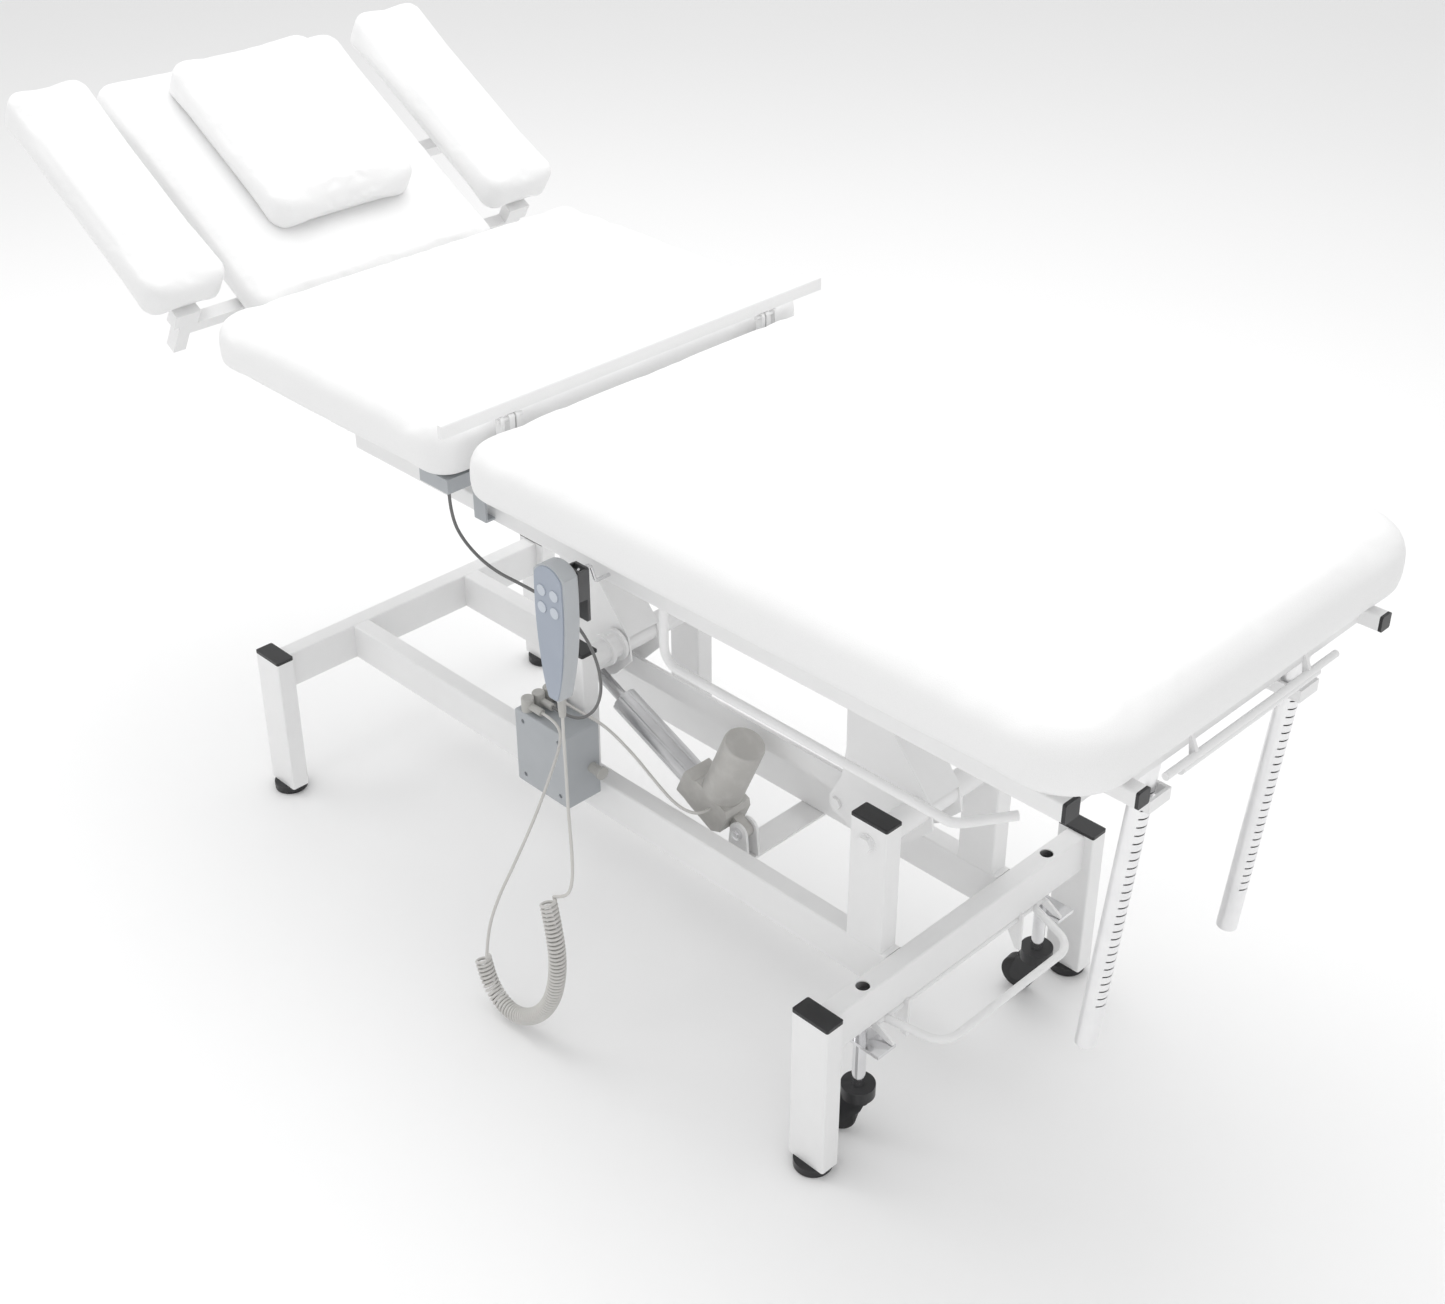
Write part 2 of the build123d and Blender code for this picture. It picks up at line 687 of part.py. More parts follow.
# ---------------------------------------------------------------- back actuator
back_crank = (19.0, -108.0)
back_pin = (hinge_x + back_crank[0], hinge_z + back_crank[1])
back_plane = actuator_plane(back_base, back_pin, back_y)
back_reach = hypot(back_pin[0] - back_base[0], back_pin[1] - back_base[1])
back_gear_end = 84.0
back_tube_end = 232.0
back_motor_radius = 26.0
with BuildPart() as back_actuator:
    with BuildSketch(back_plane.offset(-eye_half)):
        Circle(eye_radius)
        with Locations((16.0, 0)):
            Rectangle(32.0, 2 * eye_radius)
    extrude(amount=2 * eye_half)
    with BuildSketch(back_plane.offset(-20.0)):
        with Locations(((back_gear_end + 22.0) / 2.0, 0)):
            RectangleRounded(back_gear_end - 22.0, 46.0, 5.0)
    extrude(amount=40.0)
    back_tube_plane = Plane(
        origin=back_plane.from_local_coords((back_gear_end, 0, 0)),
        x_dir=back_plane.z_dir,
        z_dir=back_plane.x_dir,
    )
    with BuildSketch(back_tube_plane):
        Circle(18.0)
    extrude(amount=back_tube_end - back_gear_end)
    back_motor_plane = Plane(
        origin=back_plane.from_local_coords((52.0, -23.0, 0)),
        x_dir=back_plane.z_dir,
        z_dir=-back_plane.y_dir,
    )
    with BuildSketch(back_motor_plane):
        Circle(back_motor_radius)
    extrude(amount=96.0)
    with BuildSketch(back_plane.offset(-40)):
        Circle(clevis_pin_radius + running_gap)
    extrude(amount=80, mode=Mode.SUBTRACT)
    with BuildSketch(back_tube_plane):
        Circle(rod_radius + 1.0)
    extrude(amount=back_tube_end, mode=Mode.SUBTRACT)
save(back_actuator, "back_actuator")

back_yoke_half = 4.0
with BuildPart() as back_rod:
    with BuildSketch(back_tube_plane.offset(10.0)):
        Circle(rod_radius)
    extrude(amount=back_reach - back_gear_end - 10.0 - 20.0)
    with BuildSketch(back_plane.offset(-back_yoke_half)):
        with Locations((back_reach - 4.0, -9.0)):
            RectangleRounded(40.0, 46.0, 10.0)
    extrude(amount=2 * back_yoke_half)
    with BuildSketch(back_plane.offset(-back_yoke_half)):
        with Locations((back_reach, -9.0)):
            SlotOverall(34.0, 2 * (clevis_pin_radius + 3.5), rotation=90)
    extrude(amount=2 * back_yoke_half, mode=Mode.SUBTRACT)
save(back_rod, "back_rod")

# ---------------------------------------------------------------- back and leg section frames
section_wall = 1.6
section_half = section_tube / 2.0
section_inner = section_y - section_half
leg_tube_start = leg_start + 3.0
leg_tube_end = leg_start + leg_length - 5.0
back_tube_start = back_end - 3.0
back_tube_finish = back_end - back_length + 27.0


def ear_outline(x0, toward, y):
    """Hinge ear that stands in the gap between two cushions; its foot points toward +1 or -1."""
    foot = 46.0
    low = section_z - section_half
    high = section_z + section_half
    with BuildSketch(Plane.XZ.offset(-y)) as outline:
        with BuildLine():
            Polyline(
                (x0 - toward * ear_half, hinge_z),
                (x0 - toward * ear_half, low),
                (x0 + toward * foot, low),
                (x0 + toward * foot, high),
                (x0 + toward * ear_half, high),
                (x0 + toward * ear_half, hinge_z),
            )
            ThreePointArc(
                (x0 + toward * ear_half, hinge_z),
                (x0, hinge_z + ear_half),
                (x0 - toward * ear_half, hinge_z),
            )
        make_face()
        with Locations((x0, hinge_z)):
            Circle(hinge_pin_radius + running_gap, mode=Mode.SUBTRACT)
    return outline.sketch


leg_bars = [leg_tube_start + 60.0, base_x + 480.0, base_x + 930.0]
handle_x = base_x + 949.0
handle_z = 744.0
prop_pin_radius = 4.0
with BuildPart() as leg_frame:
    with BuildSketch(Plane.YZ.offset(leg_tube_start)):
        with Locations((-section_y, section_z), (section_y, section_z)):
            tube_profile(section_tube, section_tube, section_wall, 2.5)
    extrude(amount=leg_tube_end - leg_tube_start)
    with BuildSketch(Plane.XZ.offset(-section_inner)):
        with Locations(*[(x, section_z) for x in leg_bars]):
            tube_profile(section_tube, section_tube, section_wall, 2.5)
    extrude(amount=2 * section_inner)
    for side in (-1, 1):
        extrude(ear_outline(hinge_x, 1, side * (section_inner - cheek / 2)), amount=cheek / 2, both=True)
        for offset in (-1, 1):
            cheek_y = side * prop_y + offset * (prop_radius + 3.5)
            with BuildSketch(Plane.XZ.offset(-cheek_y)):
                with Locations(prop_top):
                    Circle(8.0)
                with BuildLine():
                    Polyline(
                        (prop_top[0] - 4.0, prop_top[1] - 6.9),
                        (leg_bars[2] + 8.0, section_z - section_half),
                        (leg_bars[2] - 8.0, section_z - section_half),
                        (prop_top[0] - 6.0, prop_top[1] + 5.0),
                        close=True,
                    )
                make_face()
            extrude(amount=2.0, both=True)
        with BuildSketch(Plane.XZ.offset(-side * prop_y)):
            with Locations(prop_top):
                Circle(prop_pin_radius)
        extrude(amount=prop_radius + 6.0, both=True)
save(leg_frame, "leg_frame")

with BuildPart() as leg_frame_caps:
    with BuildSketch(Plane.YZ.offset(leg_tube_end)):
        with Locations((-section_y, section_z), (section_y, section_z)):
            RectangleRounded(section_tube, section_tube, 2.5)
    extrude(amount=cap_height - 1.0)
save(leg_frame_caps, "leg_frame_caps")

bar_half = 133.0
rod_half = 166.0
with BuildPart() as lift_handle:
    with BuildSketch(Plane.XZ.offset(-rod_half)):
        with Locations((handle_x, handle_z + 4.0)):
            Circle(4.5)
    extrude(amount=2 * rod_half)
    with BuildSketch(Plane.XZ.offset(-bar_half)):
        with Locations((handle_x - 4.0, handle_z - 5.0)):
            Circle(6.5)
    extrude(amount=2 * bar_half)
    for side in (-1, 1):
        with BuildSketch(Plane.XZ.offset(-side * 110.0)):
            with BuildLine():
                Polyline(
                    (leg_bars[2] + section_half, section_z + 6.0),
                    (leg_bars[2] + section_half, section_z - section_half),
                    (handle_x - 6.0, handle_z - 8.0),
                    (handle_x + 2.0, handle_z + 6.0),
                    close=True,
                )
            make_face()
        extrude(amount=2.5, both=True)
save(lift_handle, "lift_handle")

prop_length = 414.0
prop_wall = 2.0
notch_pitch = 11.5
notch_count = 28
notch_depth = 5.0
with BuildPart() as prop_tubes:
    prop_plane = Plane(
        origin=(prop_top[0], 0, prop_top[1]),
        x_dir=(0, 1, 0),
        z_dir=(-sin(radians(prop_lean)), 0, -cos(radians(prop_lean))),
    )
    with BuildSketch(prop_plane.offset(-12.0)):
        with Locations((-prop_y, 0), (prop_y, 0)):
            Circle(prop_radius)
    extrude(amount=prop_length + 12.0)
    with BuildSketch(prop_plane.offset(16.0)):
        with Locations((-prop_y, 0), (prop_y, 0)):
            Circle(prop_radius - prop_wall)
    extrude(amount=prop_length, mode=Mode.SUBTRACT)
    for step in range(notch_count):
        with BuildSketch(prop_plane.offset(34.0 + step * notch_pitch)):
            with Locations((-prop_y, prop_radius), (prop_y, prop_radius)):
                Rectangle(2 * prop_radius, 2 * notch_depth)
        extrude(amount=2.0, mode=Mode.SUBTRACT)
    with Locations(Location((prop_top[0], 0, prop_top[1]), (90, 0, 0))):
        Cylinder(prop_pin_radius + running_gap, 400.0, mode=Mode.SUBTRACT)
save(prop_tubes, "prop_tubes")

back_bars = [base_x - 125.0, base_x - 330.0, base_x - 500.0]
head_axis_x = head_corner[0] - (
    head_hinge_along * cos(radians(head_slope)) + head_hinge_below * sin(radians(head_slope))
)
head_axis_z = (
    head_corner[1]
    + head_hinge_along * sin(radians(head_slope))
    - head_hinge_below * cos(radians(head_slope))
)
head_pin_radius = 6.0
head_ear_y = 215.0
with BuildPart() as back_frame:
    with BuildSketch(Plane.YZ.offset(back_tube_finish)):
        with Locations((-section_y, section_z), (section_y, section_z)):
            tube_profile(section_tube, section_tube, section_wall, 2.5)
    extrude(amount=back_tube_start - back_tube_finish)
    with BuildSketch(Plane.XZ.offset(-section_inner)):
        with Locations(*[(x, section_z) for x in back_bars]):
            tube_profile(section_tube, section_tube, section_wall, 2.5)
    extrude(amount=2 * section_inner)
    for side in (-1, 1):
        outer_y = side * (section_y + section_half + cheek / 2)
        extrude(ear_outline(hinge_x, -1, outer_y), amount=cheek / 2, both=True)
        with BuildSketch(Plane.XZ.offset(-side * head_ear_y)):
            with BuildLine():
                Polyline(
                    (back_bars[2] + section_half, section_z + section_half),
                    (back_bars[2] + section_half, section_z - section_half),
                    (head_axis_x + 38.0, head_axis_z - 38.0),
                    (head_axis_x + 4.0, head_axis_z - 12.0),
                    (head_axis_x - 12.0, head_axis_z - 3.0),
                    (head_axis_x - 6.0, head_axis_z + 10.0),
                    (head_axis_x + 38.0, head_axis_z - 18.0),
                    (back_bars[2] - 58.0, section_z + section_half),
                    close=True,
                )
            make_face()
        extrude(amount=3.0, both=True)
        crank_y = back_y + side * (back_yoke_half + 3.5)
        with BuildSketch(Plane.XZ.offset(-crank_y)):
            with BuildLine():
                Polyline(
                    (back_bars[0] + section_half, section_z + 8.0),
                    (back_bars[0] + section_half, section_z - 8.0),
                    (back_pin[0] - 6.0, back_pin[1] - 10.0),
                    (back_pin[0] + 10.0, back_pin[1] - 6.0),
                    (back_pin[0] + 8.0, back_pin[1] + 8.0),
                    close=True,
                )
            make_face()
        extrude(amount=2.5, both=True)
    with BuildSketch(Plane.XZ.offset(-(back_y + 13.0))):
        with Locations(back_pin):
            Circle(clevis_pin_radius)
    extrude(amount=26.0)
    with BuildSketch(Plane.XZ.offset(-(head_ear_y - 3.0))):
        with Locations((head_axis_x, head_axis_z)):
            Circle(head_pin_radius)
    extrude(amount=2 * (head_ear_y - 3.0))
save(back_frame, "back_frame")


def section_cushion(x_start, x_end, head_corner_radius, foot_corner_radius):
    """Upholstered board with big soft edges; its outline is rounded in plan."""
    with BuildPart() as cushion:
        with BuildSketch(Plane.XY.offset(board_z)) as outline:
            with Locations(((x_start + x_end) / 2.0, 0)):
                Rectangle(x_end - x_start, 2 * bed_half_width)
            fillet(outline.vertices().group_by(Axis.X)[0], head_corner_radius)
            fillet(outline.vertices().group_by(Axis.X)[-1], foot_corner_radius)
        extrude(amount=bed_top - board_z)
        fillet(cushion.edges().group_by(Axis.Z)[-1], edge_round)
        fillet(cushion.edges().group_by(Axis.Z)[0], under_round)
    return cushion


under_round = 18.0
inner_corner = 44.0
foot_corner = 84.0
leg_cushion = section_cushion(leg_start, leg_start + leg_length, inner_corner, foot_corner)
save(leg_cushion, "leg_cushion")
back_cushion = section_cushion(back_end - back_length, back_end, inner_corner, inner_corner)
save(back_cushion, "back_cushion")

strip_width = 7.0
with BuildPart() as hinge_strip:
    with BuildSketch(Plane.XZ.offset(-bed_half_width)):
        with Locations((hinge_x, hinge_z + ear_half + 1.0)):
            Rectangle(strip_width, 19.0, align=(Align.CENTER, Align.MIN))
    extrude(amount=2 * bed_half_width)
    fillet(hinge_strip.edges().group_by(Axis.Z)[-1].filter_by(Axis.Y), 3.0)
save(hinge_strip, "hinge_strip")

# ---------------------------------------------------------------- head section
head_plane = Plane(
    origin=(head_corner[0], 0, head_corner[1]),
    x_dir=(-cos(radians(head_slope)), 0, sin(radians(head_slope))),
    z_dir=(sin(radians(head_slope)), 0, cos(radians(head_slope))),
)


def head_block(along_from, length, y_mid, width, top, thick, corner, round_edge):
    """Soft block on the head section: along the slope, across the bed, above the slope plane."""
    with BuildPart() as block:
        with BuildSketch(head_plane.offset(top - thick)):
            with Locations((along_from + length / 2.0, -y_mid)):
                RectangleRounded(length, width, corner)
        extrude(amount=thick)
        upper = block.faces().sort_by(lambda f: f.center().dot(head_plane.z_dir))[-1]
        fillet(upper.edges(), round_edge)
        lower = block.faces().sort_by(lambda f: f.center().dot(head_plane.z_dir))[0]
        fillet(lower.edges(), 8.0)
    return block


head_cushion = head_block(
    0.0, head_length, 0.0, 2 * head_half_width, 0.0, head_thick, 30.0, 22.0
)
save(head_cushion, "head_cushion")
pad_y = pad_inner + pad_width / 2.0
arm_pad_near = head_block(
    pad_along, pad_length, -pad_y, pad_width, pad_above, pad_thick, 26.0, 16.0
)
save(arm_pad_near, "arm_pad_near")
arm_pad_far = head_block(
    pad_along, pad_length, pad_y, pad_width, pad_above, pad_thick, 26.0, 16.0
)
save(arm_pad_far, "arm_pad_far")
pillow = head_block(
    pillow_along, pillow_length, 0.0, pillow_width, pillow_thick + 0.4, pillow_thick, 30.0, 20.0
)
save(pillow, "pillow")

head_tube = 20.0
post_size = 20.0
post_drop = 118.0
pad_rest_gap = 0.1
with BuildPart() as head_frame:
    under = -head_thick
    with BuildSketch(head_plane.offset(under)):
        for y in (-150.0, 150.0):
            with Locations((head_length / 2.0, -y)):
                Rectangle(head_length - 60.0, head_tube)
        for along_mid in (70.0, 250.0):
            with Locations((along_mid, 0)):
                Rectangle(head_tube, 2 * (pad_y + post_size / 2.0))
    extrude(amount=-head_tube)
    with BuildSketch(head_plane.offset(under)):
        for y in (-pad_y, pad_y):
            with Locations((70.0, -y)):
                Rectangle(head_tube, post_size)
    extrude(amount=-post_drop + pad_thick)
    with BuildSketch(head_plane.offset(under)):
        for y in (-pad_y, pad_y):
            for along_mid in (70.0, 250.0):
                with Locations((along_mid, -y)):
                    Rectangle(head_tube, 40.0)
    extrude(amount=head_thick + pad_above - pad_thick - pad_rest_gap)
    for side in (-1, 1):
        with BuildSketch(Plane.XZ.offset(-side * 150.0)):
            with Locations((head_axis_x, head_axis_z)):
                Circle(13.0)
        extrude(amount=12.0, both=True)
    with BuildSketch(Plane.XZ.offset(-400.0)):
        with Locations((head_axis_x, head_axis_z)):
            Circle(head_pin_radius + running_gap)
    extrude(amount=800.0, mode=Mode.SUBTRACT)
save(head_frame, "head_frame")

# ---------------------------------------------------------------- handset
handset_back = handset_y + 14.0
shell_front = handset_y - 12.0
face_thick = 2.0
button_radius = 7.5
button_gap = 0.2
button_stand = 1.3
button_depth = 6.1
button_pocket = 7.7
handset_bottom = handset_top - handset_length
button_spots = [
    (handset_x + sx * 11.5, handset_top - drop) for drop in (38.0, 62.0) for sx in (-1, 1)
]


def handset_outline(y, inset):
    """Front view of the handset in the plane at y, smaller all round by inset."""
    half = handset_width / 2.0 - inset
    top = handset_top - inset
    low = handset_bottom + inset
    with BuildSketch(Plane.XZ.offset(-y)) as outline:
        with BuildLine():
            right = Spline(
                (handset_x + half - 1.0, top - 14.0),
                (handset_x + half, top - 66.0),
                (handset_x + 0.82 * half, top - 128.0),
                (handset_x + 0.46 * half, top - 178.0),
                (handset_x + 0.30 * half, low),
            )
            left = Spline(
                (handset_x - 0.30 * half, low),
                (handset_x - 0.46 * half, top - 178.0),
                (handset_x - 0.82 * half, top - 128.0),
                (handset_x - half, top - 66.0),
                (handset_x - half + 1.0, top - 14.0),
            )
            Line(right @ 1, left @ 0)
            ThreePointArc(left @ 1, (handset_x, top), right @ 0)
        make_face()
    return outline.sketch


with BuildPart() as handset_shell:
    extrude(handset_outline(handset_back, 0.0), amount=handset_back - shell_front)
    fillet(handset_shell.faces().sort_by(Axis.Y)[-1].edges(), 5.0)
    with BuildSketch(Plane.XZ.offset(-shell_front)):
        with Locations(*button_spots):
            Circle(button_radius + button_gap)
    extrude(amount=-(button_pocket - face_thick - 1.2), mode=Mode.SUBTRACT)
save(handset_shell, "handset_shell")

with BuildPart() as handset_face:
    extrude(handset_outline(shell_front, 2.5), amount=face_thick)
    with BuildSketch(Plane.XZ.offset(-shell_front)):
        with Locations(*button_spots):
            Circle(button_radius + button_gap)
    extrude(amount=face_thick, mode=Mode.SUBTRACT)
save(handset_face, "handset_face")

face_front = shell_front - face_thick
for number, spot in enumerate(button_spots, start=1):
    with BuildPart() as handset_button:
        with BuildSketch(Plane.XZ.offset(-(face_front - button_stand + button_depth - 1.2))):
            with Locations(spot):
                Circle(button_radius)
        extrude(amount=button_depth - 1.2)
    save(handset_button, f"handset_button_{number}")

clip_half = 13.0
clip_outer = -281.0
clip_plate = 4.0
with BuildPart() as handset_clip:
    with BuildSketch(Plane.XZ.offset(-handset_back)):
        with Locations((hook_x, hook_top - 16.0)):
            RectangleRounded(2 * clip_half, 44.0, 3.0)
    extrude(amount=-clip_plate)
    with BuildSketch(Plane.XZ.offset(-clip_outer)):
        with Locations((hook_x, hook_top - 32.0)):
            RectangleRounded(2 * clip_half, 76.0, 3.0)
    extrude(amount=clip_plate)
    with BuildSketch(Plane.XZ.offset(-(handset_back + clip_plate))):
        for side in (-1, 1):
            with Locations((hook_x + side * (clip_half - 1.5), hook_top - 16.0)):
                Rectangle(3.0, 42.0)
    extrude(amount=-(clip_outer - handset_back - 2 * clip_plate))
    with BuildSketch(Plane.XZ.offset(-clip_outer)):
        with Locations((hook_x, hook_top - 6.0)):
            SlotOverall(18.0, 2 * (hook_radius + 0.5), rotation=90)
    extrude(amount=clip_plate, mode=Mode.SUBTRACT)
save(handset_clip, "handset_clip")

relief_length = 30.0
with BuildPart() as handset_strain_relief:
    with BuildSketch(Plane(origin=(handset_x, handset_y, handset_bottom), z_dir=(0, 0, -1))):
        Circle(6.5)
    with BuildSketch(
        Plane(origin=(handset_x, handset_y, handset_bottom - relief_length), z_dir=(0, 0, -1))
    ):
        Circle(4.5)
    loft()
save(handset_strain_relief, "handset_strain_relief")

# ---------------------------------------------------------------- pedal and casters
pedal_bracket_y = 118.0
crossbar_face = base_x + crossbar_x + tube_short / 2.0
crossbar_bottom = base_top - tube_long
pedal_shaft_radius = 5.0
loop_radius = 5.5
with BuildPart() as pedal_brackets:
    for side in (-1, 1):
        with BuildSketch(Plane.XZ.offset(-side * pedal_bracket_y)):
            with BuildLine():
                Polyline(
                    (crossbar_face - tube_short, crossbar_bottom),
                    (crossbar_face, crossbar_bottom),
                    (crossbar_face, crossbar_bottom + 5.0),
                    (crossbar_face + 5.0, crossbar_bottom + 5.0),
                    (crossbar_face + 5.0, 134.0),
                    (crossbar_face - 3.0, 134.0),
                    (crossbar_face - tube_short + 6.0, 170.0),
                    close=True,
                )
            make_face()
            with Locations((pedal_shaft_x, pedal_shaft_z)):
                Circle(pedal_shaft_radius + running_gap, mode=Mode.SUBTRACT)
        extrude(amount=2.0, both=True)
save(pedal_brackets, "pedal_brackets")

shaft_half = 176.0
loop_points = [
    (pedal_shaft_x, -155.0, pedal_shaft_z),
    (base_x + 672.0, -132.0, 175.0),
    (base_x + 672.0, 132.0, 175.0),
    (pedal_shaft_x, 155.0, pedal_shaft_z),
]
collar_top = 168.0
finger_gap = 1.2
with BuildPart() as pedal_bar:
    with BuildLine():
        FilletPolyline(*loop_points, radius=34.0)
    with BuildSketch(
        Plane(loop_points[0], z_dir=Vector(*loop_points[1]) - Vector(*loop_points[0]))
    ):
        Circle(loop_radius)
    sweep()
    with BuildSketch(Plane.XZ.offset(-shaft_half)):
        with Locations((pedal_shaft_x, pedal_shaft_z)):
            Circle(pedal_shaft_radius)
    extrude(amount=2 * shaft_half)
    for side in (-1, 1):
        with BuildSketch(Plane.XZ.offset(-side * (shaft_half - 2.0))):
            with BuildLine():
                Polyline(
                    (pedal_shaft_x - 6.0, pedal_shaft_z),
                    (pedal_shaft_x, pedal_shaft_z + 6.0),
                    (pedal_shaft_x + 10.0, pedal_shaft_z + 5.0),
                    (pedal_shaft_x + 34.0, collar_top + 5.0),
                    (pedal_shaft_x + 34.0, collar_top + finger_gap),
                    (pedal_shaft_x + 25.0, collar_top + finger_gap),
                    (pedal_shaft_x, pedal_shaft_z - 6.0),
                    close=True,
                )
            make_face()
        extrude(amount=2.0, both=True)
save(pedal_bar, "pedal_bar")

stem_bottom = 86.0
stem_spigot = 4.0
with BuildPart() as caster_stems:
    with BuildSketch(Plane.XY.offset(stem_bottom)):
        with Locations((crossbar_x + base_x, -stem_y), (crossbar_x + base_x, stem_y)):
            Circle(stem_radius)
    extrude(amount=240.0 - stem_bottom)
    with BuildSketch(Plane.XY.offset(stem_bottom)):
        with Locations((crossbar_x + base_x, -stem_y), (crossbar_x + base_x, stem_y)):
            Circle(stem_spigot)
    extrude(amount=-16.0)
    with BuildSketch(Plane.XY.offset(collar_top - 5.0)):
        for side in (-1, 1):
            with Locations((crossbar_x + base_x + 14.0, side * (stem_y - 2.0))):
                Rectangle(58.0, 34.0)
    extrude(amount=5.0)
save(caster_stems, "caster_stems")

hood_radius = 23.0
wheel_width = 20.0
wheel_axle_radius = 3.0
wheel_z = caster_wheel_radius + caster_gap
for name, spot_y, heading in (("near", -stem_y, 205.0), ("far", stem_y, 185.0)):
    trail = Plane(
        origin=(crossbar_x + base_x, spot_y, 0),
        x_dir=(cos(radians(heading)), sin(radians(heading)), 0),
        z_dir=(0, 0, 1),
    )
    upright = Plane(origin=trail.origin, x_dir=trail.x_dir, z_dir=-trail.y_dir)
    with BuildPart() as caster_fork:
        with BuildSketch(trail.offset(68.0)):
            Circle(hood_radius)
            Circle(stem_spigot + running_gap, mode=Mode.SUBTRACT)
        extrude(amount=stem_bottom - open_gap - 68.0)
        with BuildSketch(trail.offset(62.0)):
            with Locations((4.0, 0)):
                RectangleRounded(40.0, wheel_width + 10.0, 6.0)
        extrude(amount=6.0)
        for side in (-1, 1):
            with BuildSketch(upright.offset(side * (wheel_width / 2.0 + 3.0))):
                with BuildLine():
                    Polyline(
                        (-14.0, 67.0),
                        (-8.0, 50.0),
                        (caster_trail - 8.0, wheel_z - 6.0),
                        (caster_trail + 6.0, wheel_z - 7.0),
                        (caster_trail + 8.0, wheel_z + 6.0),
                        (22.0, 67.0),
                        close=True,
                    )
                make_face()
            extrude(amount=1.5, both=True)
        with BuildSketch(upright.offset(-wheel_width / 2.0 - 4.0)):
            with Locations((caster_trail, wheel_z)):
                Circle(wheel_axle_radius)
        extrude(amount=wheel_width + 8.0)
    save(caster_fork, f"caster_fork_{name}")
    with BuildPart() as caster_wheel:
        with BuildSketch(upright.offset(-wheel_width / 2.0)):
            with Locations((caster_trail, wheel_z)):
                Circle(caster_wheel_radius)
                Circle(wheel_axle_radius + running_gap, mode=Mode.SUBTRACT)
        extrude(amount=wheel_width)
        fillet(caster_wheel.edges().filter_by(lambda e: e.length > 100.0), 3.0)
    save(caster_wheel, f"caster_wheel_{name}")

# ---------------------------------------------------------------- cable bracket
bracket_y = -250.0
bracket_thick = 3.0
bracket_width = 24.0
bracket_foot_z = frame_z - 8.0
gland_x = base_x - 49.0
gland_front = -300.0
gland_under = 754.0
gland_height = 20.0
gland_length = 58.0
gland_lip = 8.0
with BuildPart() as cable_bracket:
    with BuildSketch(Plane.XY.offset(bracket_foot_z)):
        with Locations((gland_x, (bracket_y - frame_y - frame_half) / 2.0)):
            Rectangle(bracket_width, -(bracket_y + frame_y + frame_half))
    extrude(amount=bracket_thick)
    with BuildSketch(Plane.XZ.offset(-bracket_y)):
        with Locations((gland_x, (bracket_foot_z + gland_under + gland_height) / 2.0)):
            Rectangle(bracket_width, gland_under + gland_height - bracket_foot_z)
    extrude(amount=bracket_thick)
    with BuildSketch(Plane.XY.offset(gland_under)):
        with Locations((gland_x - 20.0, (bracket_y + gland_front - gland_lip) / 2.0)):
            Rectangle(gland_length, bracket_y - gland_front + gland_lip)
    extrude(amount=gland_height)
save(cable_bracket, "cable_bracket")

# ---------------------------------------------------------------- cords

cord_radius = 2.25
coil_radius = 12.5
arc_share = 0.45


def cord(name, points, radius):
    """Tube through the chosen points, with the largest arc that each pair of runs allows."""
    spots = [Vector(*point) for point in points]
    radii = []
    for before, here, after in zip(spots, spots[1:], spots[2:]):
        turn = radians((here - before).get_angle(after - here))
        shorter = min((here - before).length, (after - here).length)
        radii.append(arc_share * shorter / tan(turn / 2.0))
    with BuildPart() as piece:
        with BuildLine() as route:
            FilletPolyline(*points, radius=radii)
        with BuildSketch(Plane(points[0], z_dir=spots[1] - spots[0])):
            Circle(radius)
        sweep()
    length = sum(edge.length for edge in route.edges())
    share = piece.part.volume / (length * pi * radius**2)
    runs = [round((b - a).length) for a, b in zip(spots, spots[1:])]
    print(name, "length", round(length), "volume share", round(share, 3))
    print("  runs", runs, "radii", [round(value) for value in radii])
    save(piece, name)


plug_end = plug_x + plug_reach
cord(
    "handset_cord_upper",
    [
        (handset_x, handset_y, handset_bottom - relief_length),
        (handset_x, handset_y, 482.0),
        (base_x + 181.0, -319.0, 437.0),
        (base_x + 196.0, -331.0, 392.0),
        (base_x + 214.0, -343.0, 344.0),
        (base_x + 224.0, -352.0, 306.0),
        (base_x + 220.0, -357.0, 284.0),
        (base_x + 207.0, -360.0, 274.0),
        (base_x + 193.0, -360.0, 266.6),
    ],
    cord_radius,
)
cord(
    "handset_cord_coil",
    [
        (base_x + 193.0, -370.0, 264.0),
        (base_x + 207.0, -372.0, 216.0),
        (base_x + 211.0, -373.0, 160.0),
        (base_x + 196.0, -373.0, 98.0),
        (base_x + 161.0, -373.0, 46.0),
        (base_x + 118.0, -374.0, 18.0),
        (base_x + 82.0, -374.0, 22.0),
        (base_x + 56.0, -374.0, 48.0),
        (base_x + 46.0, -373.0, 80.0),
    ],
    coil_radius,
)
cord(
    "handset_cord_lower",
    [
        (base_x + 54.4, -373.0, 83.5),
        (base_x + 56.0, -370.0, 128.0),
        (base_x + 61.0, -353.0, 180.0),
        (base_x + 67.0, -322.0, 232.0),
        (base_x + 62.0, -277.0, 286.0),
        (base_x + 50.0, -238.0, 328.0),
        (base_x + 30.0, -200.0, 353.0),
        (base_x - 1.0, plug_ys[0], plug_arm_z),
        (plug_end, plug_ys[0], plug_arm_z),
    ],
    cord_radius,
)
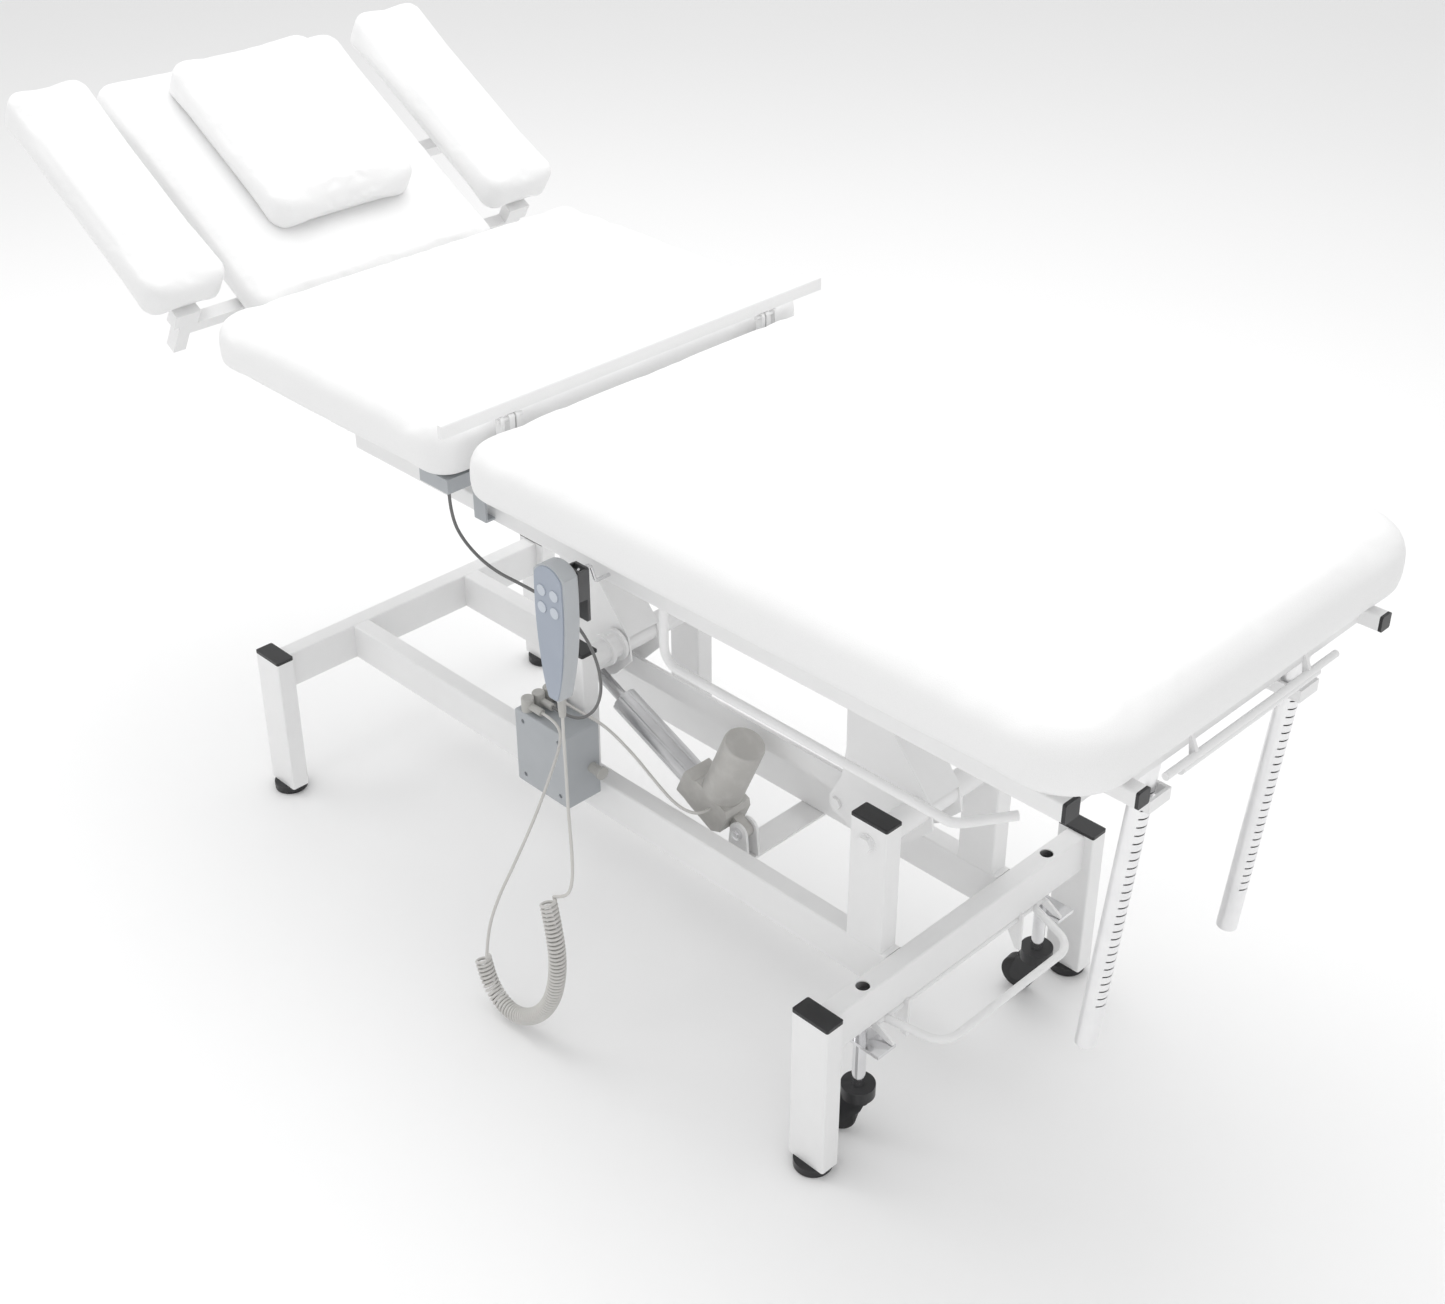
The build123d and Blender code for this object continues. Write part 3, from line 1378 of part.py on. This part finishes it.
cord(
    "back_motor_cable",
    [
        (gland_x, gland_front, gland_under),
        (gland_x, gland_front, 716.0),
        (base_x - 34.0, -291.0, 678.0),
        (base_x - 4.0, -274.0, 645.0),
        (base_x + 40.0, -256.0, 631.0),
        (base_x + 80.0, -238.0, 613.0),
        (base_x + 103.0, -215.0, 572.0),
        (base_x + 106.0, -194.0, 516.0),
        (base_x + 92.0, -176.0, 458.0),
        (base_x + 66.0, -165.0, 408.0),
        (base_x + 28.0, -159.0, 370.0),
        (base_x - 8.0, plug_ys[1], plug_arm_z),
        (plug_end, plug_ys[1], plug_arm_z),
    ],
    cord_radius,
)
cord(
    "lift_motor_cable",
    [
        (plug_end, plug_ys[2], plug_arm_z),
        (base_x + 4.0, plug_ys[2], plug_arm_z),
        (base_x + 42.0, -131.0, 354.0),
        (base_x + 86.0, -119.0, 322.0),
        (base_x + 124.0, -110.0, 286.0),
        (base_x + 154.0, -105.0, 264.0),
        (base_x + 178.0, -99.0, 257.0),
        (base_x + 193.0, -88.0, 257.0),
        (base_x + 193.0, lift_y - gear_half, 257.0),
    ],
    cord_radius,
)
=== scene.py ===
"""Looks for a white electric treatment bed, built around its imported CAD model."""
import math

import bmesh
import bpy
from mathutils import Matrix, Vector


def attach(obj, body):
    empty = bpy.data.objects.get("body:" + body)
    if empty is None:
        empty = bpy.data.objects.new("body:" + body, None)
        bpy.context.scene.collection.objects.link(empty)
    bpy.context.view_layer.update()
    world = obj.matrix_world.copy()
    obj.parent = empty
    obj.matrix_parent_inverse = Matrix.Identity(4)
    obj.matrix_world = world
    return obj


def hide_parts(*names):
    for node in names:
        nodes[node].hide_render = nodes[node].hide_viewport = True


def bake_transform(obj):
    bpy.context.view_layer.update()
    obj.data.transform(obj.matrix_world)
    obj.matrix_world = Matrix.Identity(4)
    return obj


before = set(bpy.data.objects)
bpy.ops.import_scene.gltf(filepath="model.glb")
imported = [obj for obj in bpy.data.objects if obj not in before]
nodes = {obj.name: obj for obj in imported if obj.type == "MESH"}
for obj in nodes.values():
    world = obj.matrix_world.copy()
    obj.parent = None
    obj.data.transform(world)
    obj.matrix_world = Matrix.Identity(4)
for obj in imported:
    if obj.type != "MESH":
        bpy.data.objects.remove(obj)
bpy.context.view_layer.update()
scene = bpy.context.scene
mid = 0.017  # middle of the base along the bed, in metres


# ---------------------------------------------------------------- finishes
class Value:
    """A socket of a finish's node tree that Python arithmetic can use."""

    def __init__(self, finish, socket):
        self.finish = finish
        self.socket = socket

    def _math(self, operation, first, second):
        return self.finish.node("ShaderNodeMath", {"operation": operation}, {0: first, 1: second})

    def __add__(self, other):
        return self._math("ADD", self, other)

    def __radd__(self, other):
        return self._math("ADD", other, self)

    def __rsub__(self, other):
        return self._math("SUBTRACT", other, self)

    def __mul__(self, other):
        return self._math("MULTIPLY", self, other)

    def __rmul__(self, other):
        return self._math("MULTIPLY", other, self)


class Finish:
    """A procedural material with one Principled BSDF."""

    def __init__(self, name, **shine):
        self.material = bpy.data.materials.new(name)
        self.material.use_nodes = True
        self.tree = self.material.node_tree
        self.shader = self.tree.nodes["Principled BSDF"]
        for socket, value in shine.items():
            self.shader.inputs[socket.replace("_", " ")].default_value = value

    def node(self, kind, settings=None, sockets=None, out=0):
        made = self.tree.nodes.new(kind)
        for key, value in (settings or {}).items():
            if key == "stops":
                ramp = made.color_ramp
                while len(ramp.elements) < len(value):
                    ramp.elements.new(1.0)
                for element, (place, shade) in zip(ramp.elements, value):
                    element.position = place
                    element.color = (shade, shade, shade, 1.0)
            else:
                setattr(made, key, value)
        for key, value in (sockets or {}).items():
            if isinstance(value, Value):
                self.tree.links.new(value.socket, made.inputs[key])
            else:
                made.inputs[key].default_value = value
        return Value(self, made.outputs[out])

    def place(self, stretch=(1.0, 1.0, 1.0)):
        """Object coordinates, stretched along the axes."""
        spot = self.node("ShaderNodeTexCoord", out=3)
        return self.node("ShaderNodeMapping", None, {"Vector": spot, "Scale": stretch})

    def noise(self, spot, scale, detail=3.0):
        return self.node(
            "ShaderNodeTexNoise", None, {"Vector": spot, "Scale": scale, "Detail": detail}
        )

    def shades(self, amount, dark, light):
        """Colour between two shades, by amount."""
        return self.node(
            "ShaderNodeMix",
            {"data_type": "RGBA"},
            {0: amount, 6: (*dark, 1.0), 7: (*light, 1.0)},
            out=2,
        )

    def bump(self, height, distance, strength=1.0, below=None):
        sockets = {"Height": height, "Distance": distance, "Strength": strength}
        if below is not None:
            sockets["Normal"] = below
        return self.node("ShaderNodeBump", None, sockets)

    def feed(self, **links):
        for socket, value in links.items():
            self.tree.links.new(value.socket, self.shader.inputs[socket.replace("_", " ")])
        return self.material


def powder_coat(name, dark, light, rough=0.36):
    """Sprayed paint with a fine orange peel and a little uneven gloss."""
    finish = Finish(name, IOR=1.5)
    spot = finish.place()
    peel = finish.noise(spot, 900.0, 2.0)
    cloud = finish.noise(spot, 7.0, 4.0)
    wear = finish.noise(spot, 60.0, 5.0)
    return finish.feed(
        Base_Color=finish.shades(cloud * 0.7 + wear * 0.3, dark, light),
        Roughness=rough - 0.05 + 0.1 * wear,
        Normal=finish.bump(peel, 0.00006, 0.5),
    )


def synthetic_leather(name, dark, light):
    """Pressed grain of small cells under a soft satin coat, with faint stretch marks."""
    finish = Finish(name, IOR=1.46, Sheen_Weight=0.12, Sheen_Roughness=0.5)
    spot = finish.place()
    cells = finish.node(
        "ShaderNodeTexVoronoi",
        {"feature": "DISTANCE_TO_EDGE"},
        {"Vector": spot, "Scale": 620.0, "Randomness": 0.9},
    )
    edge = finish.node("ShaderNodeValToRGB", {"stops": [(0.0, 0.0), (0.18, 1.0)]}, {0: cells})
    fine = finish.noise(spot, 1900.0, 2.0)
    soft = finish.noise(spot, 5.0, 3.0)
    grain = edge * 0.8 + fine * 0.2
    swell = finish.bump(soft, 0.0022, 0.35)
    return finish.feed(
        Base_Color=finish.shades(soft * 0.5 + grain * 0.5, dark, light),
        Roughness=0.5 - 0.07 * grain,
        Normal=finish.bump(grain, 0.00009, 0.55, below=swell),
    )


def moulded(name, dark, light, rough=0.45, grain_scale=1400.0, depth=0.00005, coat=0.0):
    """Moulded plastic or rubber with a fine spark-eroded texture."""
    finish = Finish(name, IOR=1.47, Coat_Weight=coat)
    spot = finish.place()
    grain = finish.noise(spot, grain_scale, 2.0)
    patch = finish.noise(spot, 22.0, 4.0)
    return finish.feed(
        Base_Color=finish.shades(patch, dark, light),
        Roughness=rough - 0.06 + 0.12 * patch,
        Normal=finish.bump(grain, depth, 0.6),
    )


def metal(name, dark, light, rough, stretch=(1.0, 1.0, 1.0), depth=0.00002):
    """Bare or plated metal with brushing along the stretched axis and a few dull patches."""
    finish = Finish(name, Metallic=1.0)
    lines = finish.noise(finish.place(stretch), 420.0, 3.0)
    haze = finish.noise(finish.place(), 35.0, 4.0)
    return finish.feed(
        Base_Color=finish.shades(haze, dark, light),
        Roughness=rough + 0.1 * haze * lines,
        Normal=finish.bump(lines, depth, 0.4),
    )


def cast_metal(name, dark, light):
    """Painted die casting: soft pebbled skin, with scuffs that show lighter."""
    finish = Finish(name, Metallic=0.35, IOR=1.5)
    spot = finish.place()
    pebble = finish.noise(spot, 380.0, 4.0)
    scuff = finish.node(
        "ShaderNodeValToRGB",
        {"stops": [(0.45, 0.0), (0.75, 1.0)]},
        {0: finish.noise(spot, 48.0, 6.0)},
    )
    return finish.feed(
        Base_Color=finish.shades(scuff * 0.6 + pebble * 0.3, dark, light),
        Roughness=0.42 + 0.12 * pebble,
        Normal=finish.bump(pebble, 0.00012, 0.5),
    )


white_paint = powder_coat("white_powder_coat", (0.80, 0.80, 0.80), (0.88, 0.88, 0.88))
white_leather = synthetic_leather("white_synthetic_leather", (0.83, 0.83, 0.83), (0.89, 0.89, 0.89))
black_plastic = moulded("black_plastic", (0.012, 0.012, 0.013), (0.028, 0.028, 0.03), 0.34)
black_rubber = moulded("black_rubber", (0.010, 0.010, 0.011), (0.03, 0.03, 0.03), 0.55, 700.0, 0.0001)
dark_plastic = moulded("dark_clip_plastic", (0.07, 0.07, 0.072), (0.12, 0.12, 0.122), 0.4)
box_plastic = moulded("box_grey_plastic", (0.39, 0.41, 0.43), (0.45, 0.47, 0.49), 0.42, 900.0, 0.00008)
shell_plastic = moulded("handset_shell_plastic", (0.47, 0.49, 0.51), (0.53, 0.55, 0.57), 0.4)
face_plastic = moulded("handset_face_plastic", (0.33, 0.37, 0.44), (0.38, 0.42, 0.49), 0.36)
button_plastic = moulded("button_plastic", (0.52, 0.56, 0.62), (0.58, 0.62, 0.68), 0.3, 2000.0)
cord_jacket = moulded("cord_jacket", (0.56, 0.55, 0.53), (0.63, 0.62, 0.60), 0.5, 1500.0)
plug_plastic = moulded("plug_plastic", (0.42, 0.42, 0.40), (0.50, 0.49, 0.47), 0.45)
dark_cable = moulded("dark_cable_jacket", (0.13, 0.13, 0.13), (0.2, 0.2, 0.2), 0.45, 1500.0)
motor_cast = cast_metal("motor_casting", (0.50, 0.49, 0.47), (0.62, 0.61, 0.59))
chrome = metal("bright_chrome", (0.72, 0.72, 0.73), (0.86, 0.86, 0.87), 0.08)
prop_steel = metal("satin_prop_steel", (0.80, 0.80, 0.81), (0.92, 0.92, 0.92), 0.3, (1, 1, 0.05))
tube_alloy = metal("drawn_alloy_tube", (0.56, 0.56, 0.57), (0.74, 0.74, 0.75), 0.32, (0.06, 1, 0.06))
bare_steel = metal("turned_steel", (0.50, 0.50, 0.51), (0.66, 0.66, 0.67), 0.24, (0.1, 1, 0.1))

finish_of = {
    white_paint: (
        "base_legs base_crossbar_head base_crossbar_foot base_rails pivot_posts pivot_axles "
        "actuator_mount lift_arm_head lift_arm_foot link_bar lift_frame side_bar back_frame "
        "head_frame leg_frame lift_handle pedal_brackets pedal_bar"
    ),
    black_plastic: (
        "tube_caps levelling_feet lift_frame_caps leg_frame_caps caster_fork_near caster_fork_far"
    ),
    black_rubber: "caster_wheel_near caster_wheel_far",
    chrome: "clevis_pin caster_stems handset_hook",
    prop_steel: "prop_tubes",
    bare_steel: "lift_rod back_rod",
    motor_cast: "lift_gearbox lift_motor back_actuator",
    tube_alloy: "lift_tube",
    box_plastic: "control_box control_box_cover cable_bracket",
    shell_plastic: "handset_shell",
    face_plastic: "handset_face",
    button_plastic: "handset_button_1 handset_button_2 handset_button_3 handset_button_4",
    dark_plastic: "handset_clip",
    plug_plastic: "cord_plugs handset_strain_relief",
    white_leather: "hinge_strip",
}
for material, names in finish_of.items():
    for name in names.split():
        nodes[name].data.materials.clear()
        nodes[name].data.materials.append(material)


# ---------------------------------------------------------------- mesh helpers
def add_object(name, mesh, material=None, smooth=True):
    piece = bpy.data.objects.new(name, mesh)
    scene.collection.objects.link(piece)
    if material is not None:
        mesh.materials.clear()
        mesh.materials.append(material)
    if smooth:
        mesh.polygons.foreach_set("use_smooth", [True] * len(mesh.polygons))
    return piece


def evaluated_mesh(piece):
    """The piece's mesh with its modifiers applied, or a curve's mesh."""
    bpy.context.view_layer.update()
    graph = bpy.context.evaluated_depsgraph_get()
    return bpy.data.meshes.new_from_object(piece.evaluated_get(graph))


def bake_modifiers(piece):
    """Gives the piece its evaluated mesh and takes the modifiers away."""
    mesh = evaluated_mesh(piece)
    piece.modifiers.clear()
    old = piece.data
    piece.data = mesh
    bpy.data.meshes.remove(old)
    return piece


# ---------------------------------------------------------------- camera, floor and light
camera_data = bpy.data.cameras.new("camera")
camera = bpy.data.objects.new("camera", camera_data)
scene.collection.objects.link(camera)
camera.location = (1.816 + mid, -1.671, 1.964)
camera.rotation_euler = [math.radians(angle) for angle in (59.199, -0.066, 44.974)]
camera_data.sensor_width = 36.0
camera_data.lens = 50.48
camera_data.shift_x = -0.0014
camera_data.shift_y = -0.0399
scene.camera = camera

floor_finish = Finish("pale_floor", IOR=1.4)
floor_cloud = floor_finish.noise(floor_finish.place(), 0.8, 2.0)
floor_material = floor_finish.feed(
    Base_Color=floor_finish.shades(floor_cloud, (0.93, 0.93, 0.93), (0.95, 0.95, 0.95)),
    Roughness=0.6 + 0.05 * floor_cloud,
)
floor_mesh = bpy.data.meshes.new("floor")
floor_mesh.from_pydata([(-14, -14, 0), (14, -14, 0), (14, 14, 0), (-14, 14, 0)], [], [(0, 1, 2, 3)])
floor = add_object("floor", floor_mesh, floor_material, smooth=False)


def area_light(name, place, target, size, power):
    data = bpy.data.lights.new(name, "AREA")
    data.shape = "SQUARE"
    data.size = size
    data.energy = power
    light = bpy.data.objects.new(name, data)
    scene.collection.objects.link(light)
    light.location = place
    light.rotation_euler = (Vector(target) - Vector(place)).to_track_quat("-Z", "Y").to_euler()
    return light


area_light("overhead_softbox", (-0.4, 0.6, 3.6), (0, 0, 0.4), 3.4, 62.0)
area_light("key_softbox", (-2.6, -1.4, 2.6), (0, 0, 0.7), 1.8, 14.0)
area_light("fill_softbox", (2.8, -2.4, 1.4), (0, 0, 0.5), 2.2, 9.0)
world = bpy.data.worlds.new("studio")
scene.world = world
world.use_nodes = True
world.node_tree.nodes["Background"].inputs["Color"].default_value = (1.0, 1.0, 1.0, 1.0)
world.node_tree.nodes["Background"].inputs["Strength"].default_value = 0.78
scene.view_settings.view_transform = "Standard"

# ---------------------------------------------------------------- cords
cord_radius = 0.00225
coil_centre = 0.0125 - cord_radius
coil_pitch = 0.0061
turn_points = 14

upper_route = [
    (mid + 0.172, -0.313, 0.519),
    (mid + 0.172, -0.313, 0.482),
    (mid + 0.181, -0.319, 0.437),
    (mid + 0.196, -0.331, 0.392),
    (mid + 0.214, -0.343, 0.344),
    (mid + 0.224, -0.352, 0.306),
    (mid + 0.220, -0.357, 0.284),
    (mid + 0.207, -0.360, 0.274),
    (mid + 0.193, -0.360, 0.2666),
]
coil_route = [
    (mid + 0.193, -0.370, 0.264),
    (mid + 0.207, -0.372, 0.216),
    (mid + 0.211, -0.373, 0.160),
    (mid + 0.196, -0.373, 0.098),
    (mid + 0.161, -0.373, 0.046),
    (mid + 0.118, -0.374, 0.018),
    (mid + 0.082, -0.374, 0.022),
    (mid + 0.056, -0.374, 0.048),
    (mid + 0.046, -0.373, 0.080),
]
lower_route = [
    (mid + 0.0544, -0.373, 0.0835),
    (mid + 0.056, -0.370, 0.128),
    (mid + 0.061, -0.353, 0.180),
    (mid + 0.067, -0.322, 0.232),
    (mid + 0.062, -0.277, 0.286),
    (mid + 0.050, -0.238, 0.328),
    (mid + 0.030, -0.200, 0.353),
    (mid - 0.001, -0.178, 0.359),
    (mid - 0.036, -0.178, 0.359),
]
back_route = [
    (mid - 0.049, -0.300, 0.754),
    (mid - 0.049, -0.300, 0.716),
    (mid - 0.034, -0.291, 0.678),
    (mid - 0.004, -0.274, 0.645),
    (mid + 0.040, -0.256, 0.631),
    (mid + 0.080, -0.238, 0.613),
    (mid + 0.103, -0.215, 0.572),
    (mid + 0.106, -0.194, 0.516),
    (mid + 0.092, -0.176, 0.458),
    (mid + 0.066, -0.165, 0.408),
    (mid + 0.028, -0.159, 0.370),
    (mid - 0.008, -0.158, 0.359),
    (mid - 0.036, -0.158, 0.359),
]
lift_route = [
    (mid - 0.036, -0.138, 0.359),
    (mid + 0.004, -0.138, 0.359),
    (mid + 0.042, -0.131, 0.354),
    (mid + 0.086, -0.119, 0.322),
    (mid + 0.124, -0.110, 0.286),
    (mid + 0.154, -0.105, 0.264),
    (mid + 0.178, -0.099, 0.257),
    (mid + 0.193, -0.088, 0.257),
    (mid + 0.193, -0.072, 0.257),
]


def spline_object(name, points, radius=0.0, between=12):
    curve = bpy.data.curves.new(name, "CURVE")
    curve.dimensions = "3D"
    spline = curve.splines.new("NURBS")
    spline.points.add(len(points) - 1)
    for item, point in zip(spline.points, points):
        item.co = (*point, 1.0)
    spline.order_u = 3
    spline.use_endpoint_u = True
    spline.resolution_u = between
    curve.resolution_u = between
    curve.bevel_depth = radius
    curve.bevel_resolution = 3
    curve.use_fill_caps = radius > 0
    piece = bpy.data.objects.new(name, curve)
    scene.collection.objects.link(piece)
    return piece


def line_of(points, between=12):
    """Close points along the smooth line that the control points give."""
    bare = spline_object("bare_line", points, 0.0, between)
    mesh = evaluated_mesh(bare)
    line = [vertex.co.copy() for vertex in mesh.vertices]
    bpy.data.objects.remove(bare)
    bpy.data.meshes.remove(mesh)
    return line


def line_length(line):
    return sum((b - a).length for a, b in zip(line, line[1:]))


def tube_piece(name, points, radius, material, between=12):
    """A round cord as a mesh tube, with the line it follows."""
    solid = spline_object(name + "_curve", points, radius, between)
    mesh = evaluated_mesh(solid)
    bpy.data.objects.remove(solid)
    mesh.name = name
    return add_object(name, mesh, material), line_of(points, between)


def helix_points(line, radius, pitch):
    """Control points of a helix wound about the line, with turn_points to a turn."""
    step = pitch / turn_points
    wanted = int(line_length(line) / step)
    step = line_length(line) / wanted
    side = Vector((0, 1, 0))
    points = []
    travelled = 0.0
    index = 0
    for count in range(wanted + 1):
        goal = count * step
        while index < len(line) - 2 and travelled + (line[index + 1] - line[index]).length < goal:
            travelled += (line[index + 1] - line[index]).length
            index += 1
        run = line[index + 1] - line[index]
        forward = run.normalized()
        centre = line[index] + forward * (goal - travelled)
        side = (side - forward * side.dot(forward)).normalized()
        other = forward.cross(side)
        turn = 2 * math.pi * count / turn_points
        points.append(centre + radius * (math.cos(turn) * side + math.sin(turn) * other))
    return points


def loose_cord(name, node, points, material, start, body, ends_on, **facts):
    piece, line = tube_piece(name, points, cord_radius, material, facts.pop("between", 12))
    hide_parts(node)
    if ends_on:
        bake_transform(piece)
    else:
        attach(piece, body)
    return piece


loose_cord(
    "handset_cord_top", "handset_cord_upper", upper_route, cord_jacket, upper_route[0],
    "lift_frame", "cord_slack", stiffness="limp", lay="hanging",
    with_pieces=[nodes["handset_strain_relief"]],
)
helix = helix_points(line_of(coil_route, 24), coil_centre, coil_pitch)
loose_cord(
    "handset_cord_curl", "handset_cord_coil", helix, cord_jacket, helix[0],
    "cord_slack", None, stiffness="limp", lay="coiled", between=2,
)
loose_cord(
    "handset_cord_tail", "handset_cord_lower", lower_route, cord_jacket, lower_route[0],
    "cord_slack", None, stiffness="limp", lay="hanging", with_pieces=[nodes["cord_plugs"]],
)
loose_cord(
    "back_motor_lead", "back_motor_cable", back_route, dark_cable, back_route[0],
    "lift_frame", "cord_slack", stiffness="limp", lay="hanging",
)
loose_cord(
    "lift_motor_lead", "lift_motor_cable", lift_route, cord_jacket, lift_route[0],
    "base", None, stiffness="limp", lay="hanging",
)


# ---------------------------------------------------------------- cushions
def merged_copy(node, name):
    """The CAD node's mesh with its loose triangles joined."""
    shape = bmesh.new()
    shape.from_mesh(nodes[node].data)
    bmesh.ops.remove_doubles(shape, verts=shape.verts, dist=1e-5)
    mesh = bpy.data.meshes.new(name)
    shape.to_mesh(mesh)
    shape.free()
    return mesh


def shrink(mesh, amount):
    """Scales the pad down by the amount on every side, so that it has room to swell."""
    low = Vector([min(v.co[i] for v in mesh.vertices) for i in range(3)])
    high = Vector([max(v.co[i] for v in mesh.vertices) for i in range(3)])
    centre = (low + high) / 2
    size = high - low
    for vertex in mesh.vertices:
        for axis in range(3):
            vertex.co[axis] = centre[axis] + (vertex.co[axis] - centre[axis]) * (
                1 - 2 * amount / size[axis]
            )


cloth_frames = 16
cloth_mass = 0.4
cloth_stiffness = 22
smooth_rounds = 6
shrink_share = 0.55


def swell(piece, pressure, cap, frames=cloth_frames):
    """Blows the pad up as cloth, and keeps every point within cap of where it started."""
    before = [vertex.co.copy() for vertex in piece.data.vertices]
    cloth = piece.modifiers.new("cloth", "CLOTH")
    cloth.settings.use_pressure = True
    cloth.settings.uniform_pressure_force = pressure
    cloth.settings.mass = cloth_mass
    cloth.settings.tension_stiffness = cloth_stiffness
    cloth.settings.compression_stiffness = cloth_stiffness
    cloth.settings.effector_weights.gravity = 0.0
    cloth.point_cache.frame_start = 1
    cloth.point_cache.frame_end = frames
    for number in range(1, frames + 1):
        scene.frame_set(number)
    after = evaluated_mesh(piece)
    piece.modifiers.remove(cloth)
    for vertex, old, new in zip(piece.data.vertices, before, after.vertices):
        move = new.co - old
        if move.length > cap:
            move *= cap / move.length
        vertex.co = old + move
    bpy.data.meshes.remove(after)
    scene.frame_set(1)


def soft_pad(node, name, body, voxel, pressure, cap):
    """An upholstered pad in its CAD solid's place, swollen as cloth and smoothed."""
    mesh = merged_copy(node, name)
    shrink(mesh, cap * shrink_share)
    piece = add_object(name, mesh, white_leather)
    remesh = piece.modifiers.new("remesh", "REMESH")
    remesh.mode = "VOXEL"
    remesh.voxel_size = voxel
    bake_modifiers(piece)
    smooth = piece.modifiers.new("smooth", "SMOOTH")
    smooth.factor = 0.5
    smooth.iterations = smooth_rounds
    bake_modifiers(piece)
    swell(piece, pressure, cap)
    round_off = piece.modifiers.new("subdivide", "SUBSURF")
    round_off.levels = 1
    round_off.render_levels = 1
    bake_modifiers(piece)
    piece.data.materials.clear()
    piece.data.materials.append(white_leather)
    piece.data.polygons.foreach_set("use_smooth", [True] * len(piece.data.polygons))
    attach(piece, body)
    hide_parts(node)
    return piece


soft_pad("leg_cushion", "leg_pad", "leg_section", 0.009, 3.0, 0.006)
soft_pad("back_cushion", "back_pad", "back_section", 0.008, 3.0, 0.006)
soft_pad("head_cushion", "head_pad", "head_section", 0.007, 3.0, 0.005)
soft_pad("arm_pad_near", "near_arm_pad", "arm_pad_near", 0.005, 4.0, 0.004)
soft_pad("arm_pad_far", "far_arm_pad", "arm_pad_far", 0.005, 4.0, 0.004)
soft_pad("pillow", "pillow_pad", "pillow", 0.005, 4.0, 0.005)
